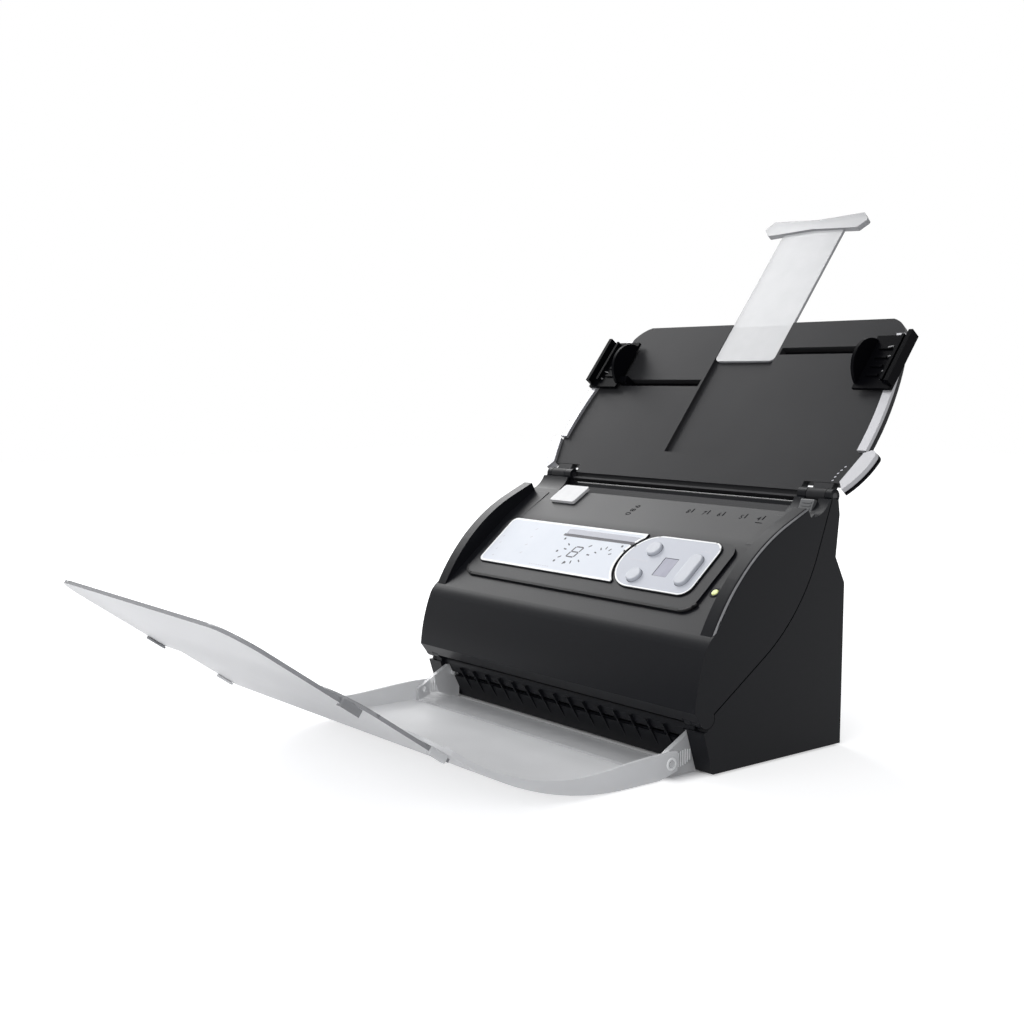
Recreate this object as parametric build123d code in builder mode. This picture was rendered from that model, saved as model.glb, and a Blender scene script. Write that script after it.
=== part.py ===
"""Sheet-fed document scanner: hinged front cover, rear paper chute, telescoping output tray.

X runs to the scanner's right, Y to the rear, Z up, in millimetres.  Side outlines are
drawn in (depth, height), with depth 0 above the middle of the body.  The origin lies on
the desk, below the middle of the scanner's overall depth with its trays out.
"""
from build123d import *
from math import atan2, cos, degrees, hypot, pi, radians, sin, tan
import os

os.makedirs("parts", exist_ok=True)

# Body: outlines are (depth, height)
half_width = 132.0
wall = 2.5
desk_gap = 1.5
body_top = 150.0
rear_foot = 70.0
rear_shoulder = (71.0, 99.0)
rear_waist = (62.6, 115.0)
rear_neck = (65.5, 140.0)
rear_crown = (64.0, body_top)
front_foot = (-39.5, desk_gap)
front_shelf = (-47.4, 26.0)

# Parting line between base and cover, which is also the paper path
seam_bend = (33.0, 83.3)
seam_upper_angle = 69.0
seam_lower_angle = 33.5
seam_radius = 118.0
seam_front = -48.9
side_gap = 0.4
paper_gap = 1.5
plate_thickness = 2.0
fit = 0.4
belt_room = 19.4
plate_half_width = half_width - belt_room

# Cover front, from the feed lip down to the lower edge
feed_lip = (42.5, 141.5)
slope_break = (14.0, 123.8)
face_break = (-44.5, 75.5)
cover_nose = (-54.3, 37.7)
cover_chin = (-48.2, 29.6)
fin_top = (36.8, 145.3)
fin_start = (20.0, 137.6)
fin_middle = (-19.7, 108.7)
fin_start_angle = 31.0
fin_thickness = 10.0
fin_round = 2.0
face_round = 18.0
ear_width = 27.0
ear_inner = half_width - ear_width
throat_height = 122.0

# Cover hinge at the front of the base
cover_axis = (-44.5, 33.5)
knuckle_radius = 5.5
pin_radius = 2.0
pin_clearance = 0.05
arm_width = 13.6
arm_inner = half_width - arm_width
cover_ear_thickness = 5.6
body_gap = 0.4

# Control panel on the cover's slope: (x, distance up the slope from slope_break)
pad_height = 1.6
pad_left = 19.0 - half_width
pad_right = half_width - 28.0
pad_bottom = -56.5
plate_height = 0.9
panel_top = -4.0
pod_right = pad_right - 10.0
pod_left = pod_right - 72.0
pod_bottom = -47.5
pod_round = 19.0
label_left = pad_left + 6.0
label_right = pod_left + 6.0
label_bottom = -46.0
button_radius = 5.2
button_x = pod_left + 21.8
up_button_y = -16.0
down_button_y = -38.5
scan_button_x = pod_right - 11.5
scan_button_y = -28.5
scan_button_length = 25.0
scan_button_width = 10.0
button_travel = 1.2
button_rise = 2.2
button_clearance = 0.3
window_x = pod_left + 40.5
window_y = -28.5
window_size = (11.6, 15.0)
lamp_x = pad_right + 6.0
lamp_y = -39.5
lamp_radius = 2.3
button_foot = -wall - 2.0
board_level = button_foot - button_travel - 0.4

# Feed lip tab and release lever
tab_x = 31.6 - plate_half_width
tab_width = 25.0
tab_length = 14.0
tab_thickness = 2.0
lever_x = half_width - 14.0
lever_width = 10.0
lever_pivot = (49.5, 134.5)
lever_thickness = 2.6
lever_length = 13.0
lever_lean = 24.0

# Rollers: distance down the paper path, radius, and half lengths
feed_station = 46.0
transport_station = 79.0
glass_station = 118.0
exit_station = 147.0
feed_radius = 10.0
transport_radius = 10.0
exit_radius = 9.0
nip = 0.3
pinch_radius = 5.0
shaft_radius = 3.0
pinch_shaft_radius = 1.5
shaft_clearance = 0.06
motor_shaft_radius = 1.5
pulley_radius = 4.2
belt_thickness = 1.1
belt_gap = 0.15
belt_width = 2.8
frame_inner = plate_half_width + fit
frame_thickness = 2.0
glass_width = 16.0
glass_thickness = 1.9
sensor_size = (18.0, 12.0)
sensor_half_length = plate_half_width - 4.6
pad_length = 34.0
pad_width = 14.0

# Motor below the transport shaft
backlash = 0.16
motor_distance = 22.0
motor_angle = -55.0
motor_radius = 12.0
motor_length = 34.0

# Paper chute: (x, distance up the chute from its hinge)
chute_tilt = 52.25
chute_axis = (62.5, 151.0)
chute_front = 1.0
chute_thickness = 5.0
chute_half_width = half_width + 7.0
chute_foot = -3.2
chute_swing = 5.6
chute_shoulder = 8.5
barrel_radius = 4.2
barrel_inner = ear_inner + 7.0
barrel_outer = half_width - 6.0
rail_width = 6.5
rail_height = 2.4
rail_foot = 31.0
chute_top = 134.0
wing_thickness = 6.0

# Paper guides, on a rack and pinion behind the chute
guide_low = 75.5
guide_high = 116.5
stem_width = 8.0
stem_x = half_width - 28.0
guide_stop = stem_x + stem_width / 2
guide_reach = guide_stop + 29.0
guide_plate = 2.0
fence_height = 15.0
fence_thickness = 2.2
guide_travel = 70.0
slide_gap = 0.3
pinion_teeth = 20
rack_module = 1.0
rack_height = 5.0
rack_width = 3.0
rack_teeth = 26
pinion_height = 96.0
rack_lift = 0.4
rack_line = rack_module * pinion_teeth / 2 + rack_height / 2 + 0.9

# Chute extension with its bow-tie stop
blade_half = 27.0
blade_low = 102.0
blade_thickness = 2.0
channel_depth = 2.6
channel_low = 24.0
stop_low = 216.0
stop_high = 229.0
stop_half = 46.0
stop_waist = 4.0
extension_travel = 74.0

# Output tray: the mount, the dish and its two extensions
tray_skin = 2.0
tray_clear = 0.8
tray_axis = (-60.4, 8.6)
tray_pin = 2.0
tray_arm_outer = arm_inner - 0.5
tray_arm_inner = tray_arm_outer - 3.4
tray_arm_pin = (-39.5, 18.5)
tray_half = tray_arm_outer + tray_skin + 0.7
grip_rib = 0.5
tray_rear = -69.5
dish_start = -95.0
dish_radius = 190.0
dish_slope = 35.0
dish_length = 21.0
dish_wall = 22.0
dish_corner = 20.0
leaf_gap = 0.4
middle_leaf_half = tray_half - 8.6
middle_leaf_low = -1.0
middle_leaf_high = 70.0
middle_leaf_travel = 42.0
outer_leaf_half = middle_leaf_half - 5.0
outer_leaf_low = 56.0
outer_leaf_high = 136.0
outer_leaf_travel = 50.0
leaf_corner = 22.0

# Electrics and feet
board_size = (150.0, 44.0, 1.6)
board_height = 9.0
jack_x = board_size[0] / 2 - 13.0
usb_x = jack_x - 28.0
socket_height = 12.0
foot_radius = 7.5
foot_x = half_width - 20.0
foot_front = -18.0
foot_rear = 56.0
screw_radius = 3.0
screw_hole = 1.6
screw_x = foot_x - 22.0
mouth_ribs = 15
mouth_rib_pitch = 14.0

# Directions worked out from the sizes above
chute_up = (cos(radians(chute_tilt)), sin(radians(chute_tilt)))
chute_out = (-chute_up[1], chute_up[0])
slope_up = (-cos(radians(dish_slope)), sin(radians(dish_slope)))
slope_under = (-slope_up[1], slope_up[0])
dish_end = (dish_start - dish_radius * sin(radians(dish_slope)),
            tray_clear + tray_skin + dish_radius * (1 - cos(radians(dish_slope))))
outer_leaf_depth = 2 * (tray_skin + leaf_gap)
tray_tip = dish_end[0] + outer_leaf_high * slope_up[0] + (outer_leaf_depth + tray_skin) * slope_under[0]
blade_front = chute_front - fit
blade_back = blade_front - blade_thickness
chute_tip = chute_axis[0] + stop_high * chute_up[0] + blade_back * chute_out[0]
middle = (tray_tip + chute_tip) / 2
panel_angle = degrees(atan2(slope_break[1] - face_break[1], slope_break[0] - face_break[0]))
lip_angle = degrees(atan2(feed_lip[1] - slope_break[1], feed_lip[0] - slope_break[0]))


def side_plane(x):
    """A plane across X whose sketches are (depth, height)."""
    return Plane(origin=(x, -middle, 0), x_dir=(0, 1, 0), z_dir=(1, 0, 0))


def level_plane(height):
    """A level plane whose sketches are (x, depth)."""
    return Plane(origin=(0, -middle, height))


def tilted_plane(point, direction, depth=0.0):
    """A plane through a (depth, height) point whose sketches are (x, distance along direction)."""
    normal = (-direction[1], direction[0])
    y = point[0] + depth * normal[0] - middle
    z = point[1] + depth * normal[1]
    return Plane(origin=(0, y, z), x_dir=(1, 0, 0), z_dir=(0, normal[0], normal[1]))


def panel_plane(height):
    """The control panel's slope, raised by height; sketches are (x, distance up the slope)."""
    return tilted_plane(slope_break, (cos(radians(panel_angle)), sin(radians(panel_angle))), height)


def lip_plane(height):
    """The slope between the panel and the feed lip, measured up from slope_break."""
    return tilted_plane(slope_break, (cos(radians(lip_angle)), sin(radians(lip_angle))), height)


def chute_plane(height):
    """The chute, height in front of its hinge axis; sketches are (x, distance up the chute)."""
    return tilted_plane(chute_axis, chute_up, height)


def leaf_plane(depth):
    """Below the tray's straight slope by depth; sketches are (x, distance up the slope)."""
    return tilted_plane(dish_end, slope_up, depth)


def seam_normal(angle):
    return (sin(radians(angle)), -cos(radians(angle)))


def seam_corner(depth):
    """The corner of the parting line, moved towards the base by depth."""
    upper = seam_normal(seam_upper_angle)
    lower = seam_normal(seam_lower_angle)
    share = depth / (1 + upper[0] * lower[0] + upper[1] * lower[1])
    return (seam_bend[0] + share * (upper[0] + lower[0]), seam_bend[1] + share * (upper[1] + lower[1]))


def seam_high(height, depth):
    """The point of the upper stretch at a height."""
    corner = seam_corner(depth)
    return (corner[0] + (height - corner[1]) / tan(radians(seam_upper_angle)), height)


def seam_low(place, depth):
    """The point of the lower stretch at a place along Y."""
    corner = seam_corner(depth)
    return (place, corner[1] + (place - corner[0]) * tan(radians(seam_lower_angle)))


def seam_line(height, place, depth):
    """The parting line from a height down to a place, moved towards the base by depth."""
    return FilletPolyline(
        seam_high(height, depth),
        seam_corner(depth),
        seam_low(place, depth),
        radius=seam_radius + depth,
    )


paper_path = FilletPolyline(
    seam_high(body_top, 0),
    seam_corner(0),
    seam_low(seam_front, 0),
    radius=seam_radius,
    mode=Mode.PRIVATE,
)


def on_path(station, depth):
    """The (depth, height) point below the paper path at a distance down it, and its normal."""
    point = paper_path.position_at(station, position_mode=PositionMode.LENGTH)
    tangent = paper_path.tangent_at(station, position_mode=PositionMode.LENGTH)
    normal = (-tangent.Y, tangent.X)
    return (point.X + depth * normal[0], point.Y + depth * normal[1]), normal


def path_plane(station, depth):
    """A plane along the paper path, facing the base; sketches are (x, distance down the path)."""
    point, normal = on_path(station, depth)
    return Plane(
        origin=(0, point[0] - middle, point[1]),
        x_dir=(1, 0, 0),
        z_dir=(0, normal[0], normal[1]),
    )


def band(high, low, top_depth, bottom_depth):
    """A sketch face between two moved copies of the parting line."""
    with BuildLine() as outline:
        outer = seam_line(high, low, top_depth)
        inner = seam_line(high, low, bottom_depth)
        Line(outer @ 0, inner @ 0)
        Line(outer @ 1, inner @ 1)
    make_face(outline.edges())


def rod(point, radius, start, end, mode=Mode.ADD):
    """A bar along X through a (depth, height) point."""
    with BuildSketch(side_plane(start)) as section:
        with Locations(point):
            Circle(radius)
    extrude(section.sketch, amount=end - start, mode=mode)


def block(plane, center, size, amount, mode=Mode.ADD):
    """A block raised from a plane."""
    with BuildSketch(plane) as section:
        with Locations(center):
            Rectangle(*size)
    extrude(section.sketch, amount=amount, mode=mode)


def slab(plane, points, amount, mode=Mode.ADD):
    """A plate with a straight-sided outline, raised from a plane."""
    with BuildSketch(plane) as section:
        with BuildLine():
            Polyline(*points, close=True)
        make_face()
    extrude(section.sketch, amount=amount, mode=mode)


def both_sides(shape_maker, inner, outer, mode=Mode.ADD):
    """Extrudes a side outline over the same stretch of X on the left and the right."""
    for start in (inner, -outer):
        with BuildSketch(side_plane(start)) as section:
            shape_maker()
        extrude(section.sketch, amount=outer - inner, mode=mode)


def save(builder, name):
    builder.part.label = name
    export_step(builder.part, "parts/" + name + ".step")


def rear_line():
    """The rear wall from the crown down to the desk side."""
    return Polyline(rear_crown, rear_neck, rear_waist, rear_shoulder, (rear_foot, desk_gap))


def base_outline():
    with BuildLine() as outline:
        seam = seam_line(body_top, front_shelf[0] + knuckle_radius, side_gap)
        Line(seam @ 0, rear_crown)
        rear_line()
        Polyline((rear_foot, desk_gap), front_foot, front_shelf, (cover_axis[0], front_shelf[1]), seam @ 1)
    make_face(outline.edges())


def base_housing():
    """Rear half of the casing: sides, rear wall, chute ears and the arms that carry the cover."""
    front_wall_foot = front_foot[0] + 8.5
    shelf_front = cover_axis[0] + 2.0
    with BuildPart() as housing:
        with BuildSketch(side_plane(-half_width)):
            base_outline()
        extrude(amount=2 * half_width)
        rear_edges = housing.edges().filter_by(Axis.X).group_by(Axis.Y)[-1]
        fillet(rear_edges, radius=3.0)

        # Hollow, open below for the pan and above for the guide plate
        with BuildSketch(side_plane(wall - half_width)):
            with BuildLine():
                seam = seam_line(body_top - 7.0, shelf_front + 2.4, wall + 0.1)
                Polyline(
                    seam @ 0,
                    (rear_neck[0] - wall, body_top - 7.0),
                    (rear_waist[0] - wall, rear_waist[1]),
                    (rear_shoulder[0] - wall, rear_shoulder[1] - 1.0),
                    (rear_foot - wall, -desk_gap),
                    (front_wall_foot + 2.4, -desk_gap),
                    (shelf_front + 0.9, front_shelf[1] - 1.0),
                    seam @ 1,
                )
            make_face()
        extrude(amount=2 * (half_width - wall), mode=Mode.SUBTRACT)
        with BuildSketch(side_plane(-plate_half_width - fit)):
            band(body_top + 5.0, seam_front - 2.0, -1.0, paper_gap + plate_thickness + 0.1)
        extrude(amount=2 * (plate_half_width + fit), mode=Mode.SUBTRACT)

        # Exit mouth between the two front arms
        slab(
            side_plane(-arm_inner),
            (
                (front_shelf[0] - 10.0, -1.0),
                (front_shelf[0] - 10.0, front_shelf[1] + 20.0),
                (shelf_front - 1.5, front_shelf[1] + 20.0),
                (shelf_front - 1.5, front_shelf[1] - 1.0),
                (front_wall_foot, -1.0),
            ),
            2 * arm_inner,
            mode=Mode.SUBTRACT,
        )

        # Comb of ribs down the back of the mouth
        for count in range(mouth_ribs):
            x = (count - (mouth_ribs - 1) / 2) * mouth_rib_pitch
            slab(
                side_plane(x - 0.6),
                (
                    (shelf_front - 1.0, front_shelf[1] - 1.6),
                    (shelf_front - 3.6, front_shelf[1] - 1.6),
                    (front_wall_foot - 1.6, 3.4),
                    (front_wall_foot + 0.5, 3.4),
                ),
                1.2,
            )

        # Room for the long belt behind the left rim
        ends = (
            on_path(transport_station, transport_radius + nip)[0],
            on_path(exit_station, exit_radius + nip)[0],
        )
        with BuildSketch(side_plane(wall - half_width)):
            with Locations(*ends):
                Circle(pulley_radius + belt_gap + belt_thickness + fit)
            make_hull()
        extrude(amount=half_width - wall - frame_inner - frame_thickness, mode=Mode.SUBTRACT)

        # Openings beside the mouth for the arms of the tray mount
        def arm_opening():
            with Locations((front_shelf[0] + 7.0, front_shelf[1] / 2 - 1.0)):
                Rectangle(16.0, front_shelf[1])

        both_sides(arm_opening, plate_half_width, arm_inner, mode=Mode.SUBTRACT)

        # Seat for the cover's knuckles, and the ears that carry its pins
        ear_outer = arm_inner + cover_ear_thickness

        def seat():
            with Locations(cover_axis):
                Circle(knuckle_radius + body_gap)

        def ear():
            with Locations(cover_axis):
                Circle(knuckle_radius)
            with Locations((cover_axis[0] + 1.7, front_shelf[1] + 1.0)):
                Rectangle(knuckle_radius * 1.3, 7.0)

        both_sides(seat, arm_inner - 1.0, half_width + 1.0, mode=Mode.SUBTRACT)
        both_sides(ear, arm_inner, ear_outer)
        rod(cover_axis, pin_radius, -half_width, half_width, mode=Mode.SUBTRACT)
        rod(tray_arm_pin, tray_pin, -half_width + wall, half_width - wall, mode=Mode.SUBTRACT)

        # Crown scooped out for the chute's foot between the ears, and the ears themselves
        rod(chute_axis, chute_swing, -ear_inner, ear_inner, mode=Mode.SUBTRACT)

        def notch():
            with Locations((chute_axis[0], chute_axis[1])):
                Circle(barrel_radius + 1.3)

        def knuckle():
            with Locations(chute_axis):
                Circle(barrel_radius)
            with Locations((chute_axis[0], chute_axis[1] - 4.0)):
                Rectangle(barrel_radius * 1.5, 6.0)

        both_sides(notch, barrel_inner - fit, barrel_outer + fit, mode=Mode.SUBTRACT)
        both_sides(knuckle, barrel_outer + fit, barrel_outer + 4.6)
        both_sides(knuckle, ear_inner, barrel_inner - fit)
        rod(chute_axis, pin_radius, -half_width - 1.0, half_width + 1.0, mode=Mode.SUBTRACT)

        # Rear sockets
        back = Plane(origin=(0, rear_foot + 1.0 - middle, 0), x_dir=(-1, 0, 0), z_dir=(0, 1, 0))
        block(back, (-jack_x, board_height + 6.2), (9.4, 9.4), -wall - 4.0, mode=Mode.SUBTRACT)
        block(back, (-usb_x, board_height + 7.2), (12.4, 11.4), -wall - 4.0, mode=Mode.SUBTRACT)
    save(housing, "base_housing")


def base_pan():
    """Moulded bottom plate with screw bosses and board posts."""
    with BuildPart() as pan:
        front = front_foot[0] + 8.5 + wall + 2.0
        rear = rear_foot - wall - fit - 0.6
        depth = rear - front
        with BuildSketch(level_plane(desk_gap)):
            with Locations((0, (front + rear) / 2)):
                RectangleRounded(2 * (half_width - wall - fit), depth, 3.0)
        extrude(amount=wall)
        for x in (-foot_x, foot_x):
            for y in (foot_front, foot_rear):
                with BuildSketch(level_plane(desk_gap)):
                    with Locations((x, y)):
                        Circle(foot_radius + 0.1)
                extrude(amount=1.0, mode=Mode.SUBTRACT)
        post_x = board_size[0] / 2 - 6.0
        for x in (-post_x, post_x):
            for y in (22.0, 54.0):
                with BuildSketch(level_plane(desk_gap + wall)):
                    with Locations((x, y)):
                        Circle(3.0)
                extrude(amount=board_height - desk_gap - wall)
        with BuildSketch(level_plane(desk_gap)):
            with GridLocations(9.0, 0, 12, 1):
                with Locations((0, 8.0)):
                    SlotOverall(26.0, 3.0, rotation=90)
        extrude(amount=wall, mode=Mode.SUBTRACT)
        for point in screw_places():
            with BuildSketch(level_plane(desk_gap)):
                with Locations(point):
                    Circle(screw_hole)
            extrude(amount=wall, mode=Mode.SUBTRACT)
    save(pan, "base_pan")


def screw_places():
    return [(x, y) for x in (-screw_x, 0.0, screw_x) for y in (foot_front + 4.0, foot_rear + 6.0)]


def rubber_feet():
    with BuildPart() as feet:
        for x in (-foot_x, foot_x):
            for y in (foot_front, foot_rear):
                with BuildSketch(level_plane(0)):
                    with Locations((x, y)):
                        Circle(foot_radius)
                extrude(amount=desk_gap + 1.0)
        chamfer(feet.faces().sort_by(Axis.Z)[0:4].edges(), length=0.5)
    save(feet, "rubber_feet")


def pan_screws():
    """Six screws up through the pan."""
    with BuildPart() as screws:
        for point in screw_places():
            with BuildSketch(level_plane(desk_gap - 0.9)):
                with Locations(point):
                    Circle(screw_radius)
            extrude(amount=0.9)
            with BuildSketch(level_plane(desk_gap)):
                with Locations(point):
                    Circle(screw_hole)
            extrude(amount=wall)
    save(screws, "pan_screws")


def side_frame(name, start):
    """Punched plate that carries the roller shafts beside the paper path."""
    frame_top = wall + 0.2
    with BuildPart() as frame:
        with BuildSketch(side_plane(start)):
            with BuildLine():
                seam = seam_line(126.0, front_foot[0] + 8.0, frame_top)
                Polyline(
                    seam @ 0,
                    (rear_waist[0] - wall - 1.0, 126.0),
                    (rear_waist[0] - wall - 1.0, 112.0),
                    (rear_foot - wall - 4.0, 96.0),
                    (rear_foot - wall - 4.0, desk_gap + wall + 0.1),
                    (front_foot[0] + 15.0, desk_gap + wall + 0.1),
                    seam @ 1,
                )
            make_face()
        extrude(amount=frame_thickness)
        for station, radius in shaft_stations():
            rod(on_path(station, radius + nip)[0], shaft_radius + shaft_clearance,
                start - 1.0, start + frame_thickness + 1.0, mode=Mode.SUBTRACT)
        rod(motor_center(), 3.0, start - 1.0, start + frame_thickness + 1.0, mode=Mode.SUBTRACT)
        for center, size in (((36.0, 22.0), 12.0), ((6.0, 22.0), 10.0)):
            rod(center, size, start - 1.0, start + frame_thickness + 1.0, mode=Mode.SUBTRACT)
    save(frame, name)


def shaft_stations():
    return ((feed_station, feed_radius), (transport_station, transport_radius), (exit_station, exit_radius))


def lower_guide_plate():
    """Sheet that carries the paper over the rollers and the lower glass."""
    with BuildPart() as plate:
        with BuildSketch(side_plane(-plate_half_width)):
            band(body_top - 6.5, seam_front + 8.5, paper_gap, paper_gap + plate_thickness)
        extrude(amount=2 * plate_half_width)
        for station, radius in shaft_stations():
            for x, length in tyre_places(station):
                window = (length + 2.0, 2 * radius + 1.0)
                block(path_plane(station, 0), (x, 0), window, radius, mode=Mode.SUBTRACT)
        window = (2 * sensor_half_length, glass_width + 0.3)
        block(path_plane(glass_station, 0), (0, 0), window, 6.0, mode=Mode.SUBTRACT)
    save(plate, "lower_guide_plate")


def tyre_places(station):
    """The middles and lengths of the rubber tyres on the shaft at a station."""
    if station == feed_station:
        return ((0.0, 36.0),)
    if station == transport_station:
        return ((-52.0, 18.0), (52.0, 18.0))
    return ((-78.0, 14.0), (-26.0, 14.0), (26.0, 14.0), (78.0, 14.0))


def glass_strip(name, side):
    """Scan window in the lower (side 1) or upper (side -1) guide plate."""
    with BuildPart() as glass:
        start = paper_gap if side > 0 else -paper_gap - glass_thickness
        size = (2 * sensor_half_length - 0.3, glass_width)
        block(path_plane(glass_station, start), (0, 0), size, glass_thickness)
    save(glass, name)


def scan_unit(name, side):
    """Contact sensor bar behind the glass."""
    with BuildPart() as unit:
        near = paper_gap + plate_thickness + 0.2
        start = near if side > 0 else -near
        width, depth = sensor_size
        with BuildSketch(path_plane(glass_station, start)):
            Rectangle(2 * sensor_half_length - 4.0, width)
        extrude(amount=side * depth)
        by_depth = unit.edges().filter_by(Axis.X).sort_by(depth_below_path)
        long_edges = by_depth[-2:] if side > 0 else by_depth[:2]
        chamfer(long_edges, length=3.0)
    save(unit, name)


def depth_below_path(edge):
    """How far an edge lies from the glass, towards the base."""
    point, normal = on_path(glass_station, 0)
    center = edge.center()
    return (center.Y + middle - point[0]) * normal[0] + (center.Z - point[1]) * normal[1]


def roller(name, station, radius):
    """Steel shaft with moulded collars, and its rubber tyres as a second piece."""
    center = on_path(station, radius + nip)[0]
    far = frame_inner + frame_thickness
    with BuildPart() as shaft:
        rod(center, shaft_radius, -far - 13.4, far + 2.0)
        rod(center, shaft_radius + 1.2, frame_inner - 4.0, frame_inner - 0.3)
        rod(center, shaft_radius + 1.2, 0.3 - frame_inner, 4.0 - frame_inner)
    save(shaft, name + "_shaft")
    with BuildPart() as tyres:
        for x, length in tyre_places(station):
            rod(center, radius, x - length / 2, x + length / 2)
        fillet(tyres.edges().filter_by(GeomType.CIRCLE), radius=0.6)
        rod(center, shaft_radius, -far, far, mode=Mode.SUBTRACT)
    save(tyres, name + "_tyres")


def pinch_roller(name, station):
    """Idle rollers in the cover that press the paper on the driven ones."""
    center = on_path(station, -pinch_radius - nip)[0]
    with BuildPart() as pinch:
        reach = max(abs(x) + length / 2 for x, length in tyre_places(station)) + 5.0
        rod(center, pinch_shaft_radius, -reach, reach)
        for x, length in tyre_places(station):
            rod(center, pinch_radius, x - length / 2 + 1.0, x + length / 2 - 1.0)
    save(pinch, name)


def tooth_outline(teeth, module, thickness):
    """Sketch of a spur gear: a root disc and straight-flanked teeth."""
    pitch = module * teeth / 2
    root = pitch - 1.15 * module
    tip = pitch + 0.85 * module
    base_half = thickness / 2 + 0.55 * module
    tip_half = thickness / 2 - 0.38 * module
    Circle(root)
    with PolarLocations(0, teeth):
        Polygon(
            (root - 0.4, -base_half),
            (tip, -tip_half),
            (tip, tip_half),
            (root - 0.4, base_half),
            align=None,
        )


def motor_center():
    center = on_path(transport_station, transport_radius + nip)[0]
    angle = radians(motor_angle)
    return (center[0] + motor_distance * cos(angle), center[1] + motor_distance * sin(angle))


def drive_train():
    """Motor, four pulleys and three belts, outside the left side frame."""
    lane = belt_width + 0.9
    lanes = [-frame_inner - frame_thickness - 1.0 - belt_width - lane * count for count in range(3)]
    feed = on_path(feed_station, feed_radius + nip)[0]
    transport = on_path(transport_station, transport_radius + nip)[0]
    exit_center = on_path(exit_station, exit_radius + nip)[0]
    motor = motor_center()
    flange = 0.4

    for name, center, start, end, bore in (
        ("transport_pulley", transport, lanes[2], lanes[0] + belt_width, shaft_radius),
        ("feed_pulley", feed, lanes[1], lanes[1] + belt_width, shaft_radius),
        ("exit_pulley", exit_center, lanes[2], lanes[2] + belt_width, shaft_radius),
        ("motor_pulley", motor, lanes[0], lanes[0] + belt_width, motor_shaft_radius),
    ):
        with BuildPart() as pulley:
            rod(center, pulley_radius, start, end)
            rod(center, pulley_radius + 1.0, end, end + flange)
            rod(center, bore, -half_width, 0, mode=Mode.SUBTRACT)
        save(pulley, name)

    with BuildPart() as motor_shaft:
        rod(motor, motor_shaft_radius, lanes[0] - 0.6, -frame_inner + 3.0)
    save(motor_shaft, "motor_shaft")

    with BuildPart() as body:
        rod(motor, motor_radius, -frame_inner + 0.1, -frame_inner + motor_length)
        fillet(body.edges().filter_by(GeomType.CIRCLE), radius=1.5)
        bore = motor_shaft_radius + shaft_clearance
        rod(motor, bore, -half_width, -frame_inner + 3.2, mode=Mode.SUBTRACT)
    save(body, "drive_motor")

    for name, first, second, start in (
        ("motor_belt", motor, transport, lanes[0]),
        ("feed_belt", transport, feed, lanes[1]),
        ("exit_belt", transport, exit_center, lanes[2]),
    ):
        with BuildPart() as belt:
            belt_loop(first, second, start + 0.3, belt_width - 0.6)
        save(belt, name)


def belt_loop(first, second, start, width):
    """A closed belt round two equal pulleys."""
    for radius, mode in (
        (pulley_radius + belt_gap + belt_thickness, Mode.ADD),
        (pulley_radius + belt_gap, Mode.SUBTRACT),
    ):
        with BuildSketch(side_plane(start)) as loop:
            with Locations(first, second):
                Circle(radius)
            make_hull()
        extrude(loop.sketch, amount=width, mode=mode)


def electrics():
    """Main board, its power inlet and its data socket."""
    width, depth, thickness = board_size
    board_middle = rear_foot - wall - 8.0 - depth / 2
    with BuildPart() as board:
        block(level_plane(board_height), (0, board_middle), (width, depth), thickness)
        for x, y, part_width, part_depth, part_height in (
            (-0.27, 0.0, 22.0, 22.0, 2.4),
            (-0.05, 0.14, 14.0, 14.0, 1.8),
            (0.11, -0.23, 18.0, 8.0, 3.0),
            (-0.4, -0.27, 10.0, 10.0, 8.0),
        ):
            place = (x * width, board_middle + y * depth)
            block(level_plane(board_height + thickness), place, (part_width, part_depth), part_height)
    save(board, "main_board")
    deck = board_height + thickness + 0.1
    back = Plane(origin=(0, rear_foot - 0.2 - middle, 0), x_dir=(-1, 0, 0), z_dir=(0, 1, 0))
    with BuildPart() as jack:
        block(back, (-jack_x, deck + 4.4), (8.8, 8.8), -socket_height)
        with BuildSketch(back):
            with Locations((-jack_x, deck + 4.4)):
                Circle(3.0)
                Circle(1.0, mode=Mode.SUBTRACT)
        extrude(amount=-8.0, mode=Mode.SUBTRACT)
    save(jack, "power_jack")
    with BuildPart() as usb:
        block(back, (-usb_x, deck + 5.4), (12.0, 10.8), -socket_height)
        with BuildSketch(back):
            with Locations((-usb_x, deck + 5.4)):
                Rectangle(8.4, 7.6)
                Rectangle(5.6, 3.2, mode=Mode.SUBTRACT)
        extrude(amount=-8.0, mode=Mode.SUBTRACT)
    save(usb, "usb_socket")


def pins():
    """Steel pins of the cover, the chute and the tray mount."""
    with BuildPart() as cover_pins:
        for start in (arm_inner, -half_width + wall):
            rod(cover_axis, pin_radius - pin_clearance, start, start + half_width - wall - arm_inner)
    save(cover_pins, "cover_hinge_pins")
    with BuildPart() as chute_pins:
        for start in (ear_inner, -barrel_outer - 4.6):
            rod(chute_axis, pin_radius - pin_clearance, start, start + barrel_outer + 4.6 - ear_inner)
    save(chute_pins, "chute_hinge_pins")
    with BuildPart() as tray_pins:
        length = half_width - wall - tray_arm_inner - 1.0
        for start in (tray_arm_inner, -tray_arm_inner - length):
            rod(tray_arm_pin, tray_pin - pin_clearance, start, start + length)
    save(tray_pins, "tray_mount_pins")


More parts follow.
